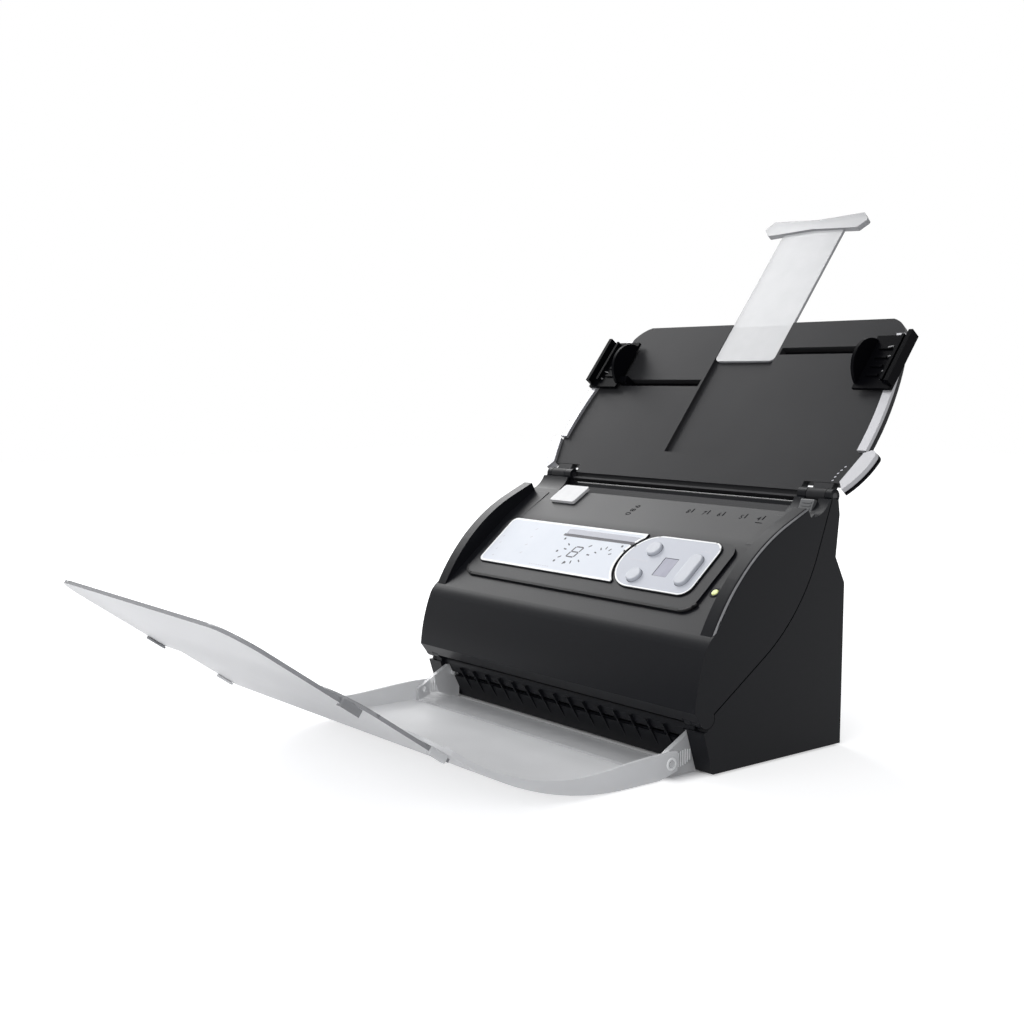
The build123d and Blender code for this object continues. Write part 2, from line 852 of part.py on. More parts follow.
def cover_outline():
    """Side outline of the cover between its fins."""
    with BuildLine() as outline:
        seam = seam_line(throat_height, seam_front + 6.0, -side_gap)
        front = FilletPolyline(feed_lip, slope_break, face_break, radius=60.0)
        TangentArc(face_break, cover_nose, tangent=(-0.42, -0.91))
        Polyline(cover_nose, cover_chin, (cover_axis[0], cover_chin[1]), seam @ 1)
        Line(seam @ 0, front @ 0)
    make_face(outline.edges())
    fillet(vertices().sort_by_distance(face_break)[0], radius=face_round)


def fin_outline():
    """The raised side fins, from the throat down to the nose."""
    with BuildLine() as outline:
        crest = Line(fin_top, fin_start)
        upper = TangentArc(fin_start, fin_middle, tangent=crest % 1)
        lower = TangentArc(fin_middle, cover_nose, tangent=upper % 1)
        Polyline(
            cover_nose,
            (cover_axis[0], cover_nose[1]),
            (slope_break[0], slope_break[1] - 12.0),
            (feed_lip[0] - 2.0, feed_lip[1] - 3.0),
            fin_top,
        )
    make_face(outline.edges())


def ear_outline():
    """The side blocks behind the feed lip, scooped out in front of the chute's barrels."""
    top = seam_high(body_top - 0.5, -side_gap)
    low = seam_high(throat_height, -side_gap)
    with BuildLine() as outline:
        Polyline(top, low, slope_break, (feed_lip[0] - 4.0, feed_lip[1] - 2.0))
        scoop = ThreePointArc(
            (feed_lip[0] - 4.0, feed_lip[1] - 2.0),
            (feed_lip[0] + 7.0, feed_lip[1] + 0.4),
            (top[0] - 1.6, top[1]),
        )
        Line(scoop @ 1, top)
    make_face(outline.edges())


def is_fin_crest(edge):
    """Whether an edge runs along the top of a fin, on the scanner's outer side."""
    center = edge.position_at(0.5)
    if abs(abs(center.X) - half_width) > 0.01:
        return False
    depth = center.Y + middle
    chord = hypot(fin_start[0] - fin_middle[0], fin_start[1] - fin_middle[1])
    on_shoulder = abs(edge.length - chord) < 2.0 and fin_middle[0] < depth < fin_start[0]
    on_nose = edge.length > 60.0 and cover_nose[0] < depth < fin_middle[0]
    return on_shoulder or (on_nose and edge.geom_type == GeomType.CIRCLE)


def front_cover():
    """Moulded front shell with its side fins, hinged at the bottom front."""
    knuckle_inner = arm_inner + cover_ear_thickness + body_gap
    with BuildPart() as cover:
        with BuildSketch(side_plane(-half_width)):
            cover_outline()
        extrude(amount=2 * half_width)
        both_sides(ear_outline, ear_inner, half_width)
        both_sides(fin_outline, half_width - fin_thickness, half_width)
        fillet(cover.edges().filter_by(is_fin_crest), radius=fin_round)

        # Raised pad under the control panel
        with BuildSketch(panel_plane(-1.0)):
            with Locations(((pad_left + pad_right) / 2, pad_bottom / 2 - 1.5)):
                RectangleRounded(pad_right - pad_left, -pad_bottom - 3.0, 9.0)
        extrude(amount=pad_height + 1.0)

        # Hollow, open towards the paper path
        with BuildSketch(side_plane(wall - half_width)):
            cover_outline()
            offset(amount=-wall, kind=Kind.INTERSECTION)
        extrude(amount=2 * (half_width - wall), mode=Mode.SUBTRACT)
        with BuildSketch(side_plane(-plate_half_width - fit)):
            band(throat_height + 4.0, seam_front + 6.5, 2.0, -wall - 2.0)
        extrude(amount=2 * (plate_half_width + fit), mode=Mode.SUBTRACT)

        # Lower lip trimmed so that the sheet passes under it
        lip_low = seam_low(seam_front - 10.0, -paper_gap)
        lip_high = seam_low(cover_axis[0] + 8.0, -paper_gap)
        slab(
            side_plane(body_gap - arm_inner),
            (lip_low, lip_high, (lip_high[0], lip_high[1] - 20.0), (lip_low[0], lip_high[1] - 20.0)),
            2 * (arm_inner - body_gap),
            mode=Mode.SUBTRACT,
        )

        # Knuckles on the hinge axis, and room for the ears of the base
        def seat():
            with Locations(cover_axis):
                Circle(knuckle_radius + body_gap)

        def knuckle():
            with Locations(cover_axis):
                Circle(knuckle_radius)

        both_sides(seat, arm_inner - body_gap, knuckle_inner, mode=Mode.SUBTRACT)
        both_sides(knuckle, knuckle_inner, half_width)
        rod(cover_axis, pin_radius, -half_width + wall, half_width - wall, mode=Mode.SUBTRACT)

        # Holes for the buttons, the window and the lamp
        with BuildSketch(panel_plane(-6.0)):
            with Locations((button_x, up_button_y), (button_x, down_button_y)):
                Circle(button_radius + button_clearance)
            with Locations((scan_button_x, scan_button_y)):
                SlotOverall(
                    scan_button_length + 2 * button_clearance,
                    scan_button_width + 2 * button_clearance,
                    rotation=90,
                )
            with Locations((lamp_x, lamp_y)):
                Circle(lamp_radius + 0.1)
        extrude(amount=12.0, mode=Mode.SUBTRACT)

        # Pocket of the release lever in the right ear
        with BuildSketch(lever_plane(-1.8)):
            with Locations((lever_x, lever_length / 2 + 4.0)):
                Rectangle(lever_width + 2 * fit, lever_length + 12.0)
        extrude(amount=12.0, mode=Mode.SUBTRACT)
        reach = lever_width / 2 + 3.0
        rod(lever_pivot, 1.5, lever_x - reach, lever_x + reach, mode=Mode.SUBTRACT)
    save(cover, "front_cover")


def lever_plane(height):
    """The release lever's back, which leans to the rear; sketches are (x, distance up the lever)."""
    return tilted_plane(lever_pivot, (sin(radians(lever_lean)), cos(radians(lever_lean))), height)


def release_lever():
    """Spring-loaded lever that unlatches the cover."""
    with BuildPart() as lever:
        size = (lever_width, lever_length + 2.0)
        block(lever_plane(0), (lever_x, lever_length / 2 + 1.0), size, lever_thickness)
        fillet(lever.edges().filter_by(Axis.X).group_by(Axis.Z)[-1], radius=1.0)
        rod(lever_pivot, 1.45, lever_x - lever_width / 2 - 2.8, lever_x + lever_width / 2 + 2.8)
        for rise in (8.5, 10.5, 12.5):
            block(lever_plane(lever_thickness), (lever_x, rise), (lever_width - 3.0, 0.8), 0.5)
    save(lever, "release_lever")


def feed_tab():
    """Light tab that hooks over the feed lip and guides the sheet's corner."""
    length = hypot(feed_lip[0] - slope_break[0], feed_lip[1] - slope_break[1])
    with BuildPart() as tab:
        with BuildSketch(lip_plane(0.0)):
            with Locations((tab_x, length - tab_length / 2 + 2.0)):
                Rectangle(tab_width, tab_length + 4.0)
        extrude(amount=tab_thickness)
        side_edges = tab.edges().filter_by(lambda e: abs(e.tangent_at(0.5).X) < 0.1 and e.length < 3.0)
        fillet(side_edges, radius=1.8)
    save(tab, "feed_tab")


def label_outline(inset):
    """The label: rounded at the left, cut back round the button pod at the right."""
    left = label_left + inset
    bottom = label_bottom + inset
    top = panel_top - inset
    with Locations(((left + label_right - inset) / 2, (bottom + top) / 2)):
        RectangleRounded(label_right - inset - left, top - bottom, 5.0)
    with Locations((label_right - 6.0 - inset, (bottom + top) / 2)):
        Rectangle(12.0, top - bottom)
    pod_outline(-2.6 - inset, mode=Mode.SUBTRACT)


def pod_outline(inset, mode=Mode.ADD):
    """The button pod: a half-round left end and small round corners at the right."""
    height = panel_top - pod_bottom - 2 * inset
    middle_y = (panel_top + pod_bottom) / 2
    with Locations(((pod_left + pod_right) / 2 + 8.0, middle_y)):
        RectangleRounded(pod_right - pod_left - 16.0 - 2 * inset, height, 8.0, mode=mode)
    with Locations((pod_left + pod_round + 3.0, middle_y)):
        Ellipse(pod_round + 3.0 - inset, height / 2, mode=mode)


def control_panel():
    """Label plate, button plate, display window, lamp lens and the three buttons."""
    with BuildPart() as label:
        with BuildSketch(panel_plane(pad_height)):
            label_outline(0.0)
        extrude(amount=plate_height)
    save(label, "label_plate")

    with BuildPart() as pod:
        with BuildSketch(panel_plane(pad_height)):
            pod_outline(0.0)
            with Locations((button_x, up_button_y), (button_x, down_button_y)):
                Circle(button_radius + button_clearance, mode=Mode.SUBTRACT)
            with Locations((scan_button_x, scan_button_y)):
                SlotOverall(
                    scan_button_length + 2 * button_clearance,
                    scan_button_width + 2 * button_clearance,
                    rotation=90,
                    mode=Mode.SUBTRACT,
                )
            with Locations((window_x, window_y)):
                Rectangle(window_size[0] + 0.2, window_size[1] + 0.2, mode=Mode.SUBTRACT)
        extrude(amount=plate_height)
    save(pod, "button_plate")

    with BuildPart() as window:
        block(panel_plane(pad_height), (window_x, window_y), window_size, plate_height - 0.2)
    save(window, "display_window")

    with BuildPart() as lamp:
        with BuildSketch(panel_plane(-2.0)):
            with Locations((lamp_x, lamp_y)):
                Circle(lamp_radius)
        extrude(amount=2.6)
        fillet(lamp.faces().sort_by(Axis.Z)[-1].edges(), radius=0.5)
    save(lamp, "status_lamp")

    for name, x, y in (("up_button", button_x, up_button_y), ("down_button", button_x, down_button_y)):
        with BuildPart() as button:
            with BuildSketch(panel_plane(button_foot)):
                with Locations((x, y)):
                    Circle(button_radius)
            extrude(amount=pad_height + plate_height + button_rise - button_foot)
            fillet(button.faces().sort_by(Axis.Z)[-1].edges(), radius=0.8)
        save(button, name)

    with BuildPart() as scan:
        with BuildSketch(panel_plane(button_foot)):
            with Locations((scan_button_x, scan_button_y)):
                SlotOverall(scan_button_length, scan_button_width, rotation=90)
        extrude(amount=pad_height + plate_height + button_rise - button_foot)
        fillet(scan.faces().sort_by(Axis.Z)[-1].edges(), radius=0.8)
    save(scan, "scan_button")

    with BuildPart() as board:
        center = ((button_x + lamp_x) / 2, (panel_top + pod_bottom) / 2)
        block(panel_plane(board_level), center, (lamp_x - button_x + 22.0, 40.0), -1.6)
        for x in (button_x - 8.5, lamp_x + 8.0):
            for y in (panel_top - 8.0, pod_bottom + 8.0):
                with BuildSketch(panel_plane(board_level)):
                    with Locations((x, y)):
                        Circle(1.5)
                extrude(amount=-wall - board_level - 0.1)
    save(board, "panel_board")


def upper_guide_plate():
    """Sheet on the cover's side of the paper path, with ears for the idle rollers."""
    near = -paper_gap
    far = -paper_gap - plate_thickness
    with BuildPart() as plate:
        with BuildSketch(side_plane(-plate_half_width)):
            band(throat_height + 2.0, seam_front + 7.0, near, far)
        extrude(amount=2 * plate_half_width)
        for station in (transport_station, exit_station):
            center = on_path(station, -pinch_radius - nip)[0]
            reach = max(abs(x) + length / 2 for x, length in tyre_places(station))
            for x in (-reach - 4.0, reach + 1.0):
                block(path_plane(station, far + 0.5), (x + 1.5, 0), (3.0, 9.0), -pinch_radius - 1.0)
            for x, length in tyre_places(station):
                window = (length, 2 * pinch_radius + 2.0)
                block(path_plane(station, -8.0), (x, 0), window, 9.0, mode=Mode.SUBTRACT)
            rod(center, pinch_shaft_radius + shaft_clearance, -reach - 6.0, reach + 6.0, mode=Mode.SUBTRACT)
        window = (2 * sensor_half_length, glass_width + 0.3)
        block(path_plane(glass_station, -6.0), (0, 0), window, 6.0, mode=Mode.SUBTRACT)
        window = (pad_length + 4.4, pad_width + 2.4)
        block(path_plane(feed_station, -6.0), (0, 0), window, 6.0, mode=Mode.SUBTRACT)
    save(plate, "upper_guide_plate")


def separation_pad():
    """Rubber pad that holds back the second sheet, on its plastic shoe."""
    shoe_face = -paper_gap - plate_thickness - 0.8
    with BuildPart() as pad:
        block(path_plane(feed_station, shoe_face), (0, 0), (pad_length, pad_width), plate_thickness + 1.4)
    save(pad, "separation_pad")
    with BuildPart() as shoe:
        block(path_plane(feed_station, shoe_face), (0, 0), (pad_length + 14.0, pad_width + 8.0), -3.0)
    save(shoe, "pad_shoe")


def chute_half(distance):
    """Half the chute's width at a distance up from its hinge."""
    rise = max(distance - 50.0, 0.0)
    return chute_half_width - 0.0022 * rise * rise - 0.045 * rise


def paper_chute():
    """Smoke-grey sheet support, with barrels, slots for the guides and a channel for the blade."""
    back = chute_front - chute_thickness
    steps = [chute_shoulder, 30.0, 50.0, 75.0, 100.0, 120.0]
    with BuildPart() as chute:
        with BuildSketch(chute_plane(back)):
            with BuildLine():
                right = Spline(*[(chute_half(s) - 1.0, s) for s in steps[2:]])
                Polyline(
                    (ear_inner - 1.5, chute_foot),
                    (ear_inner - 1.5, chute_shoulder),
                    (chute_half(chute_shoulder) - 8.0, chute_shoulder),
                    (chute_half(30.0) - 1.0, 30.0),
                    right @ 0,
                )
                shoulder = TangentArc(right @ 1, (chute_half(120.0) - 16.0, chute_top), tangent=right % 1)
                Line(shoulder @ 1, (0, chute_top))
                Line((0, chute_foot), (ear_inner - 1.5, chute_foot))
                Line((0, chute_top), (0, chute_foot))
            make_face()
            mirror(about=Plane.YZ)
        extrude(amount=chute_thickness)

        # Barrels on the hinge pins
        def barrel():
            with Locations(chute_axis):
                Circle(barrel_radius)

        both_sides(barrel, barrel_inner, barrel_outer)
        for x in (-barrel_outer, barrel_inner):
            width = barrel_outer - barrel_inner
            block(chute_plane(back + 0.2), (x + width / 2, chute_shoulder / 2 + 1.0),
                  (width, chute_shoulder + 1.0), chute_thickness - 0.4)
        rod(chute_axis, pin_radius, -half_width - 1.0, half_width + 1.0, mode=Mode.SUBTRACT)

        # Channel for the extension blade
        channel = (2 * (blade_half + slide_gap), chute_top - channel_low + 1.0)
        channel_center = (0, (chute_top + channel_low) / 2 + 0.5)
        block(chute_plane(chute_front), channel_center, channel, -channel_depth, mode=Mode.SUBTRACT)

        # Slots for the guides' stems
        for side in (-1, 1):
            x = side * (stem_x - guide_travel / 2)
            with BuildSketch(chute_plane(back - 1.0)):
                with Locations((x, pinion_height + side * rack_line)):
                    Rectangle(guide_travel + stem_width + 2 * fit, rack_height + 2 * fit)
            extrude(amount=chute_thickness + 2.0, mode=Mode.SUBTRACT)
    save(chute, "paper_chute")


def edge_band(height, thickness, inner_drop, outer_rise):
    """A strip along each side edge of the chute."""
    with BuildSketch(chute_plane(height)) as strip:
        steps = (rail_foot, 50.0, 75.0, 100.0, 120.0)
        with BuildLine():
            outer = Spline(*[(chute_half(s) + outer_rise, s) for s in steps])
            inner = Spline(*[(chute_half(s) - inner_drop, s) for s in steps])
            Line(outer @ 0, inner @ 0)
            Line(outer @ 1, inner @ 1)
        make_face()
        mirror(about=Plane.YZ)
    extrude(strip.sketch, amount=thickness)


def chute_rails():
    """Silver rails along the chute's edges."""
    with BuildPart() as rails:
        edge_band(chute_front + 0.1, rail_height, rail_width - 0.5, 0.5)
    save(rails, "chute_rails")


def chute_wings():
    """Silver wings at the chute's lower corners."""
    with BuildPart() as wings:
        with BuildSketch(chute_plane(-wing_thickness / 2)):
            with BuildLine():
                low = (half_width + 3.5, 3.0)
                high = (half_width + 15.5, 28.0)
                inner = (half_width + 9.5, 31.0)
                ThreePointArc(low, (half_width + 10.5, 13.0), high)
                ThreePointArc(high, (half_width + 14.0, 31.0), inner)
                Polyline(
                    inner,
                    (chute_half(30.0) - 0.6, 29.6),
                    (chute_half(chute_shoulder) - 7.6, chute_shoulder),
                    low,
                )
            make_face()
            mirror(about=Plane.YZ)
        extrude(amount=wing_thickness)
    save(wings, "chute_wings")


def paper_guide(name, side):
    """One sliding guide: face plate, fence, grip flange and its rack behind the chute."""
    face = chute_front + rail_height + slide_gap
    back = chute_front - chute_thickness
    middle_s = (guide_low + guide_high) / 2
    length = guide_high - guide_low
    with BuildPart() as guide:
        plate_width = guide_reach - guide_stop
        plate_center = (side * (guide_stop + plate_width / 2), middle_s)
        block(chute_plane(face), plate_center, (plate_width, length), guide_plate)

        # Fence with a round top edge
        fence_x = guide_stop if side > 0 else -guide_stop - fence_thickness
        with BuildSketch(fence_plane(fence_x)):
            with BuildLine():
                crown = ThreePointArc(
                    (guide_low + 3.0, face),
                    (middle_s, face + fence_height),
                    (guide_high - 3.0, face),
                )
                Line(crown @ 1, crown @ 0)
            make_face()
        extrude(amount=fence_thickness)

        # Grip flange at the outer end, four finger ridges on the plate
        block(chute_plane(face), (side * (guide_reach - 1.5), middle_s + 1.0), (3.0, length - 2.0), 7.5)
        block(chute_plane(face), (side * (guide_reach - 8.0), middle_s + 2.0), (2.0, length - 6.0), 5.0)
        for rise in (-11.0, -4.0, 3.0, 10.0):
            block(chute_plane(face), (side * (guide_stop + 11.0), middle_s + rise), (9.0, 1.6), 3.2)

        # Stem through the chute, and the rack
        rack_s = pinion_height + side * rack_line
        rack_back = back - rack_lift - rack_width
        stem_length = face + guide_plate - rack_back
        block(chute_plane(rack_back), (side * stem_x, rack_s), (stem_width, rack_height), stem_length)
        block(chute_plane(face), (side * (stem_x + 8.0), rack_s), (24.0, rack_height), guide_plate)
        pitch = pi * rack_module
        inner_end = -2.5 * pitch
        rack_center = (side * (stem_x + inner_end) / 2, rack_s)
        block(chute_plane(rack_back), rack_center, (stem_x - inner_end, rack_height), rack_width)
        tooth_side = -side
        for count in range(rack_teeth):
            x = side * (inner_end + pitch * (count + 0.5))
            edge = rack_s + tooth_side * rack_height / 2
            flank = pi * rack_module / 4 - backlash / 2
            slab(
                chute_plane(rack_back),
                (
                    (x - flank - 0.36 * rack_module, edge - tooth_side * 0.3),
                    (x - flank + 0.4 * rack_module, edge + tooth_side * 1.75 * rack_module),
                    (x + flank - 0.4 * rack_module, edge + tooth_side * 1.75 * rack_module),
                    (x + flank + 0.36 * rack_module, edge - tooth_side * 0.3),
                ),
                rack_width,
            )
    save(guide, name)


def fence_plane(x):
    """A plane across X whose sketches are (distance up the chute, height in front of its hinge)."""
    return Plane(
        origin=(x, chute_axis[0] - middle, chute_axis[1]),
        x_dir=(0, chute_up[0], chute_up[1]),
        z_dir=(1, 0, 0),
    )


def guide_pinion():
    """Pinion that couples the two guides."""
    back = chute_front - chute_thickness
    start = back - rack_lift - rack_width
    with BuildPart() as pinion:
        with BuildSketch(chute_plane(start)):
            with Locations(Location((0, pinion_height, 0), (0, 0, 90.0 + 180.0 / pinion_teeth))):
                tooth_outline(pinion_teeth, rack_module, pi * rack_module / 2 - backlash)
        extrude(amount=rack_width)
        with BuildSketch(chute_plane(start)):
            with Locations((0, pinion_height)):
                Circle(2.0 + shaft_clearance)
        extrude(amount=rack_width, mode=Mode.SUBTRACT)
    save(pinion, "guide_pinion")


def rack_cover():
    """Rear cover that holds the racks and the pinion's post."""
    back = chute_front - chute_thickness
    floor = back - rack_lift - rack_width - 0.4
    inside = (2 * (stem_x + stem_width / 2 + fit + 1.0), 2 * (rack_line + rack_height / 2 + 1.0))
    with BuildPart() as cover:
        outside = (inside[0] + 4.0, inside[1] + 4.0)
        block(chute_plane(floor - 1.6), (0, pinion_height), outside, back - floor + 1.6)
        block(chute_plane(floor), (0, pinion_height), inside, back - floor, mode=Mode.SUBTRACT)
        with BuildSketch(chute_plane(floor)):
            with Locations((0, pinion_height)):
                Circle(2.0)
        extrude(amount=back - floor)
    save(cover, "rack_cover")


def chute_extension():
    """Clear blade with a bow-tie stop at its top."""
    with BuildPart() as extension:
        with BuildSketch(chute_plane(blade_back)):
            with Locations((0, (blade_low + stop_low) / 2 + 2.0)):
                RectangleRounded(2 * blade_half, stop_low - blade_low + 4.0, 4.0)
        extrude(amount=blade_thickness)
        with BuildSketch(chute_plane(blade_back)):
            with BuildLine():
                half_height = (stop_high - stop_low) / 2
                center = stop_low + half_height
                Polyline(
                    (0, center + stop_waist),
                    (stop_half - 6.0, stop_high),
                    (stop_half, center),
                    (stop_half - 6.0, stop_low),
                    (0, center - stop_waist),
                    (6.0 - stop_half, stop_low),
                    (-stop_half, center),
                    (6.0 - stop_half, stop_high),
                    close=True,
                )
            make_face()
        extrude(amount=blade_thickness + 2.0)
        tall = extension.edges().filter_by(lambda e: abs(e.length - blade_thickness - 2.0) < 0.1)
        fillet(tall, radius=1.5)
    save(extension, "chute_extension")


def tray_mount():
    """Clear U-shaped piece that plugs into the base and carries the tray's pivots."""
    floor_front = tray_axis[0] - 5.6
    floor_rear = front_foot[0] - 1.5
    with BuildPart() as mount:
        with BuildSketch(level_plane(tray_clear)):
            with Locations((0, (floor_front + floor_rear) / 2)):
                Rectangle(2 * tray_arm_outer, floor_rear - floor_front)
        extrude(amount=tray_skin)

        def arm():
            with BuildLine() as outline:
                Polyline(
                    (floor_front - 2.0, tray_clear),
                    (floor_front - 2.6, 10.5),
                    (tray_axis[0] + 1.0, 15.6),
                    (-43.5, 24.0),
                    (-37.0, 24.0),
                    (-34.0, 13.0),
                    (-34.5, tray_clear),
                    close=True,
                )
            make_face(outline.edges())

        both_sides(arm, tray_arm_inner, tray_arm_outer)
        rod(tray_arm_pin, tray_pin, -half_width, half_width, mode=Mode.SUBTRACT)
        for start in (tray_arm_outer, -tray_half - 0.6):
            rod(tray_axis, tray_pin, start, start + tray_half + 0.6 - tray_arm_outer)

        # Ribbed finger grips on the outer faces
        for count in range(7):
            y = tray_axis[0] + 5.4 + 1.8 * count
            height = 8.6 * (1 - ((count - 3.0) / 4.4) ** 2) ** 0.5
            for start in (tray_arm_outer, -tray_arm_outer - grip_rib):
                block(side_plane(start), (y, 9.0 + 0.35 * count), (0.9, height), grip_rib)
    save(mount, "tray_mount")


def dish_line(depth):
    """The tray's floor line, moved under by depth: level, curved, then the straight slope."""
    level = tray_clear + tray_skin - depth
    radius = dish_radius + depth
    end = (dish_start - radius * sin(radians(dish_slope)), level + radius * (1 - cos(radians(dish_slope))))
    flat = Line((tray_rear, level), (dish_start, level))
    curve = TangentArc(flat @ 1, end, tangent=(-1, 0))
    slope = Line(end, (end[0] + dish_length * slope_up[0], end[1] + dish_length * slope_up[1]))
    return flat, curve, slope


def output_tray():
    """Clear dish with upturned sides that fade out towards its far edge."""
    with BuildPart() as tray:
        with BuildSketch(side_plane(-tray_half)):
            with BuildLine():
                top = dish_line(0.0)
                bottom = dish_line(tray_skin)
                Line(top[0] @ 0, bottom[0] @ 0)
                Line(top[2] @ 1, bottom[2] @ 1)
            make_face()
        extrude(amount=2 * tray_half)

        # Side walls between the floor and a falling top edge
        for start in (tray_half - tray_skin, -tray_half):
            with BuildSketch(side_plane(start)):
                with BuildLine():
                    bottom = dish_line(tray_skin)
                    tip = bottom[2] @ 1
                    crest = Spline(
                        (tray_axis[0] + 4.5, tray_axis[1] + 6.5),
                        (-90.0, 14.5),
                        (-130.0, 13.0),
                        (-180.0, 25.0),
                        (tip.X + 2.5, tip.Y + 3.6),
                    )
                    Line(crest @ 1, tip)
                    Polyline(crest @ 0, (tray_axis[0] + 4.5, tray_axis[1] - 4.5), (tray_rear, tray_clear))
                make_face()
            extrude(amount=tray_skin)
        rod(tray_axis, tray_pin + pin_clearance, -half_width, half_width, mode=Mode.SUBTRACT)

        # Round far corners
        far = dish_length
        for side in (-1, 1):
            with BuildSketch(leaf_plane(-20.0)):
                with BuildLine():
                    Polyline(
                        (side * (tray_half - dish_corner), far),
                        (side * (tray_half - dish_corner), far + 2.0),
                        (side * (tray_half + 1.0), far + 2.0),
                        (side * (tray_half + 1.0), far - dish_corner - 6.0),
                        (side * tray_half, far - dish_corner - 6.0),
                    )
                    ThreePointArc(
                        (side * tray_half, far - dish_corner - 6.0),
                        (side * (tray_half - dish_corner * 0.24), far - dish_corner * 0.32),
                        (side * (tray_half - dish_corner), far),
                    )
                make_face()
            extrude(amount=30.0, mode=Mode.SUBTRACT)
        leaf_rails(middle_leaf_half, tray_skin, 2.0, 13.0)
    save(tray, "output_tray")


def leaf_rails(half, depth, low, high):
    """L-shaped rails that carry a leaf of the given half width under a panel's skin."""
    drop = tray_skin + 2 * leaf_gap
    for side in (-1, 1):
        x = side * (half + slide_gap + 0.8)
        block(leaf_plane(depth - 0.2), (x, (low + high) / 2), (1.6, high - low), drop + 1.4)
        x = side * (half - 0.3)
        block(leaf_plane(depth + drop), (x, (low + high) / 2), (2.4, high - low), 1.2)


def leaf(name, low, high, half, depth, rails=()):
    """One sliding extension leaf, with rails underneath for the next one."""
    with BuildPart() as panel:
        with BuildSketch(leaf_plane(depth)):
            with BuildLine():
                Polyline((-half, low), (half, low), (half, high - leaf_corner))
                ThreePointArc(
                    (half, high - leaf_corner),
                    (half - 0.24 * leaf_corner, high - 0.32 * leaf_corner),
                    (half - leaf_corner, high),
                )
                Line((half - leaf_corner, high), (leaf_corner - half, high))
                ThreePointArc(
                    (leaf_corner - half, high),
                    (0.24 * leaf_corner - half, high - 0.32 * leaf_corner),
                    (-half, high - leaf_corner),
                )
                Line((-half, high - leaf_corner), (-half, low))
            make_face()
        extrude(amount=tray_skin)
        if rails:
            leaf_rails(outer_leaf_half, depth + tray_skin, *rails)
    save(panel, name)


def cover_parts():
    front_cover()
    control_panel()
    release_lever()
    feed_tab()
    upper_guide_plate()
    separation_pad()
    glass_strip("upper_glass", -1)
    scan_unit("upper_scan_unit", -1)
    pinch_roller("transport_pinch", transport_station)
    pinch_roller("exit_pinch", exit_station)


def base_parts():
    base_housing()
    base_pan()
    rubber_feet()
    pan_screws()
    side_frame("right_side_frame", frame_inner)
    side_frame("left_side_frame", -frame_inner - frame_thickness)
    lower_guide_plate()
    glass_strip("lower_glass", 1)
    scan_unit("lower_scan_unit", 1)
    roller("feed_roller", feed_station, feed_radius)
    roller("transport_roller", transport_station, transport_radius)
    roller("exit_roller", exit_station, exit_radius)
    drive_train()
    electrics()
    pins()


def chute_parts():
    paper_chute()
    chute_rails()
    chute_wings()
    paper_guide("right_paper_guide", 1)
    paper_guide("left_paper_guide", -1)
    guide_pinion()
    rack_cover()
    chute_extension()


def tray_parts():
    middle_depth = tray_skin + leaf_gap
    tray_mount()
    output_tray()
    rails = (middle_leaf_high - 14.0, middle_leaf_high - 2.0)
    leaf("middle_leaf", middle_leaf_low, middle_leaf_high, middle_leaf_half, middle_depth, rails)
    leaf("outer_leaf", outer_leaf_low, outer_leaf_high, outer_leaf_half, outer_leaf_depth)


base_parts()
cover_parts()
chute_parts()
tray_parts()
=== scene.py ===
"""Sheet-fed document scanner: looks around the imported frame."""
import math
import bmesh
import bpy
from mathutils import Matrix, Vector


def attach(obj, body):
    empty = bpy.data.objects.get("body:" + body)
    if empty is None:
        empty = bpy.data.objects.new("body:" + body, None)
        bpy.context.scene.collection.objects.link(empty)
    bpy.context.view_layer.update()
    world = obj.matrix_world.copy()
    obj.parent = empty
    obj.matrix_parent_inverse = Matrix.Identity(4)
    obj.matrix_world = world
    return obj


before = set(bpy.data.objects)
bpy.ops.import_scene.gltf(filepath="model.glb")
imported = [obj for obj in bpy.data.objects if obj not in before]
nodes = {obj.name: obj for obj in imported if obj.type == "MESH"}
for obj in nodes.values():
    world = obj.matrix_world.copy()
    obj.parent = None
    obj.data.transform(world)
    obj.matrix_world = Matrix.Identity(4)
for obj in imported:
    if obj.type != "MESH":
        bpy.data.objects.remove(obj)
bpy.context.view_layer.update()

# Camera at the photograph's viewing angle: front right, a little above the desk,
# looking slightly down at the scanner with its trays out.
scene = bpy.context.scene
looking_down, rolled, round_to_the_right = 5.54, 0.11, 51.84
# Depths were measured from the body; the frame counts them from the middle of the whole part.
depth_middle = -0.05774
camera_data = bpy.data.cameras.new("camera")
camera_data.lens = 49.15
camera_data.sensor_width = 36.0
camera_data.clip_start = 0.05
camera = bpy.data.objects.new("camera", camera_data)
camera.location = (0.6593, -0.5952 - depth_middle, 0.2217)
camera.rotation_euler = (
    math.radians(90.0 - looking_down),
    math.radians(rolled),
    math.radians(round_to_the_right),
)
scene.collection.objects.link(camera)
scene.camera = camera

# Studio: a pale desk top that keeps the soft shadow and has a painted shadow under the body,
# a white surround for the camera and for reflections, and large soft lamps out of the camera's
# sight.
scene.view_settings.view_transform = "Standard"


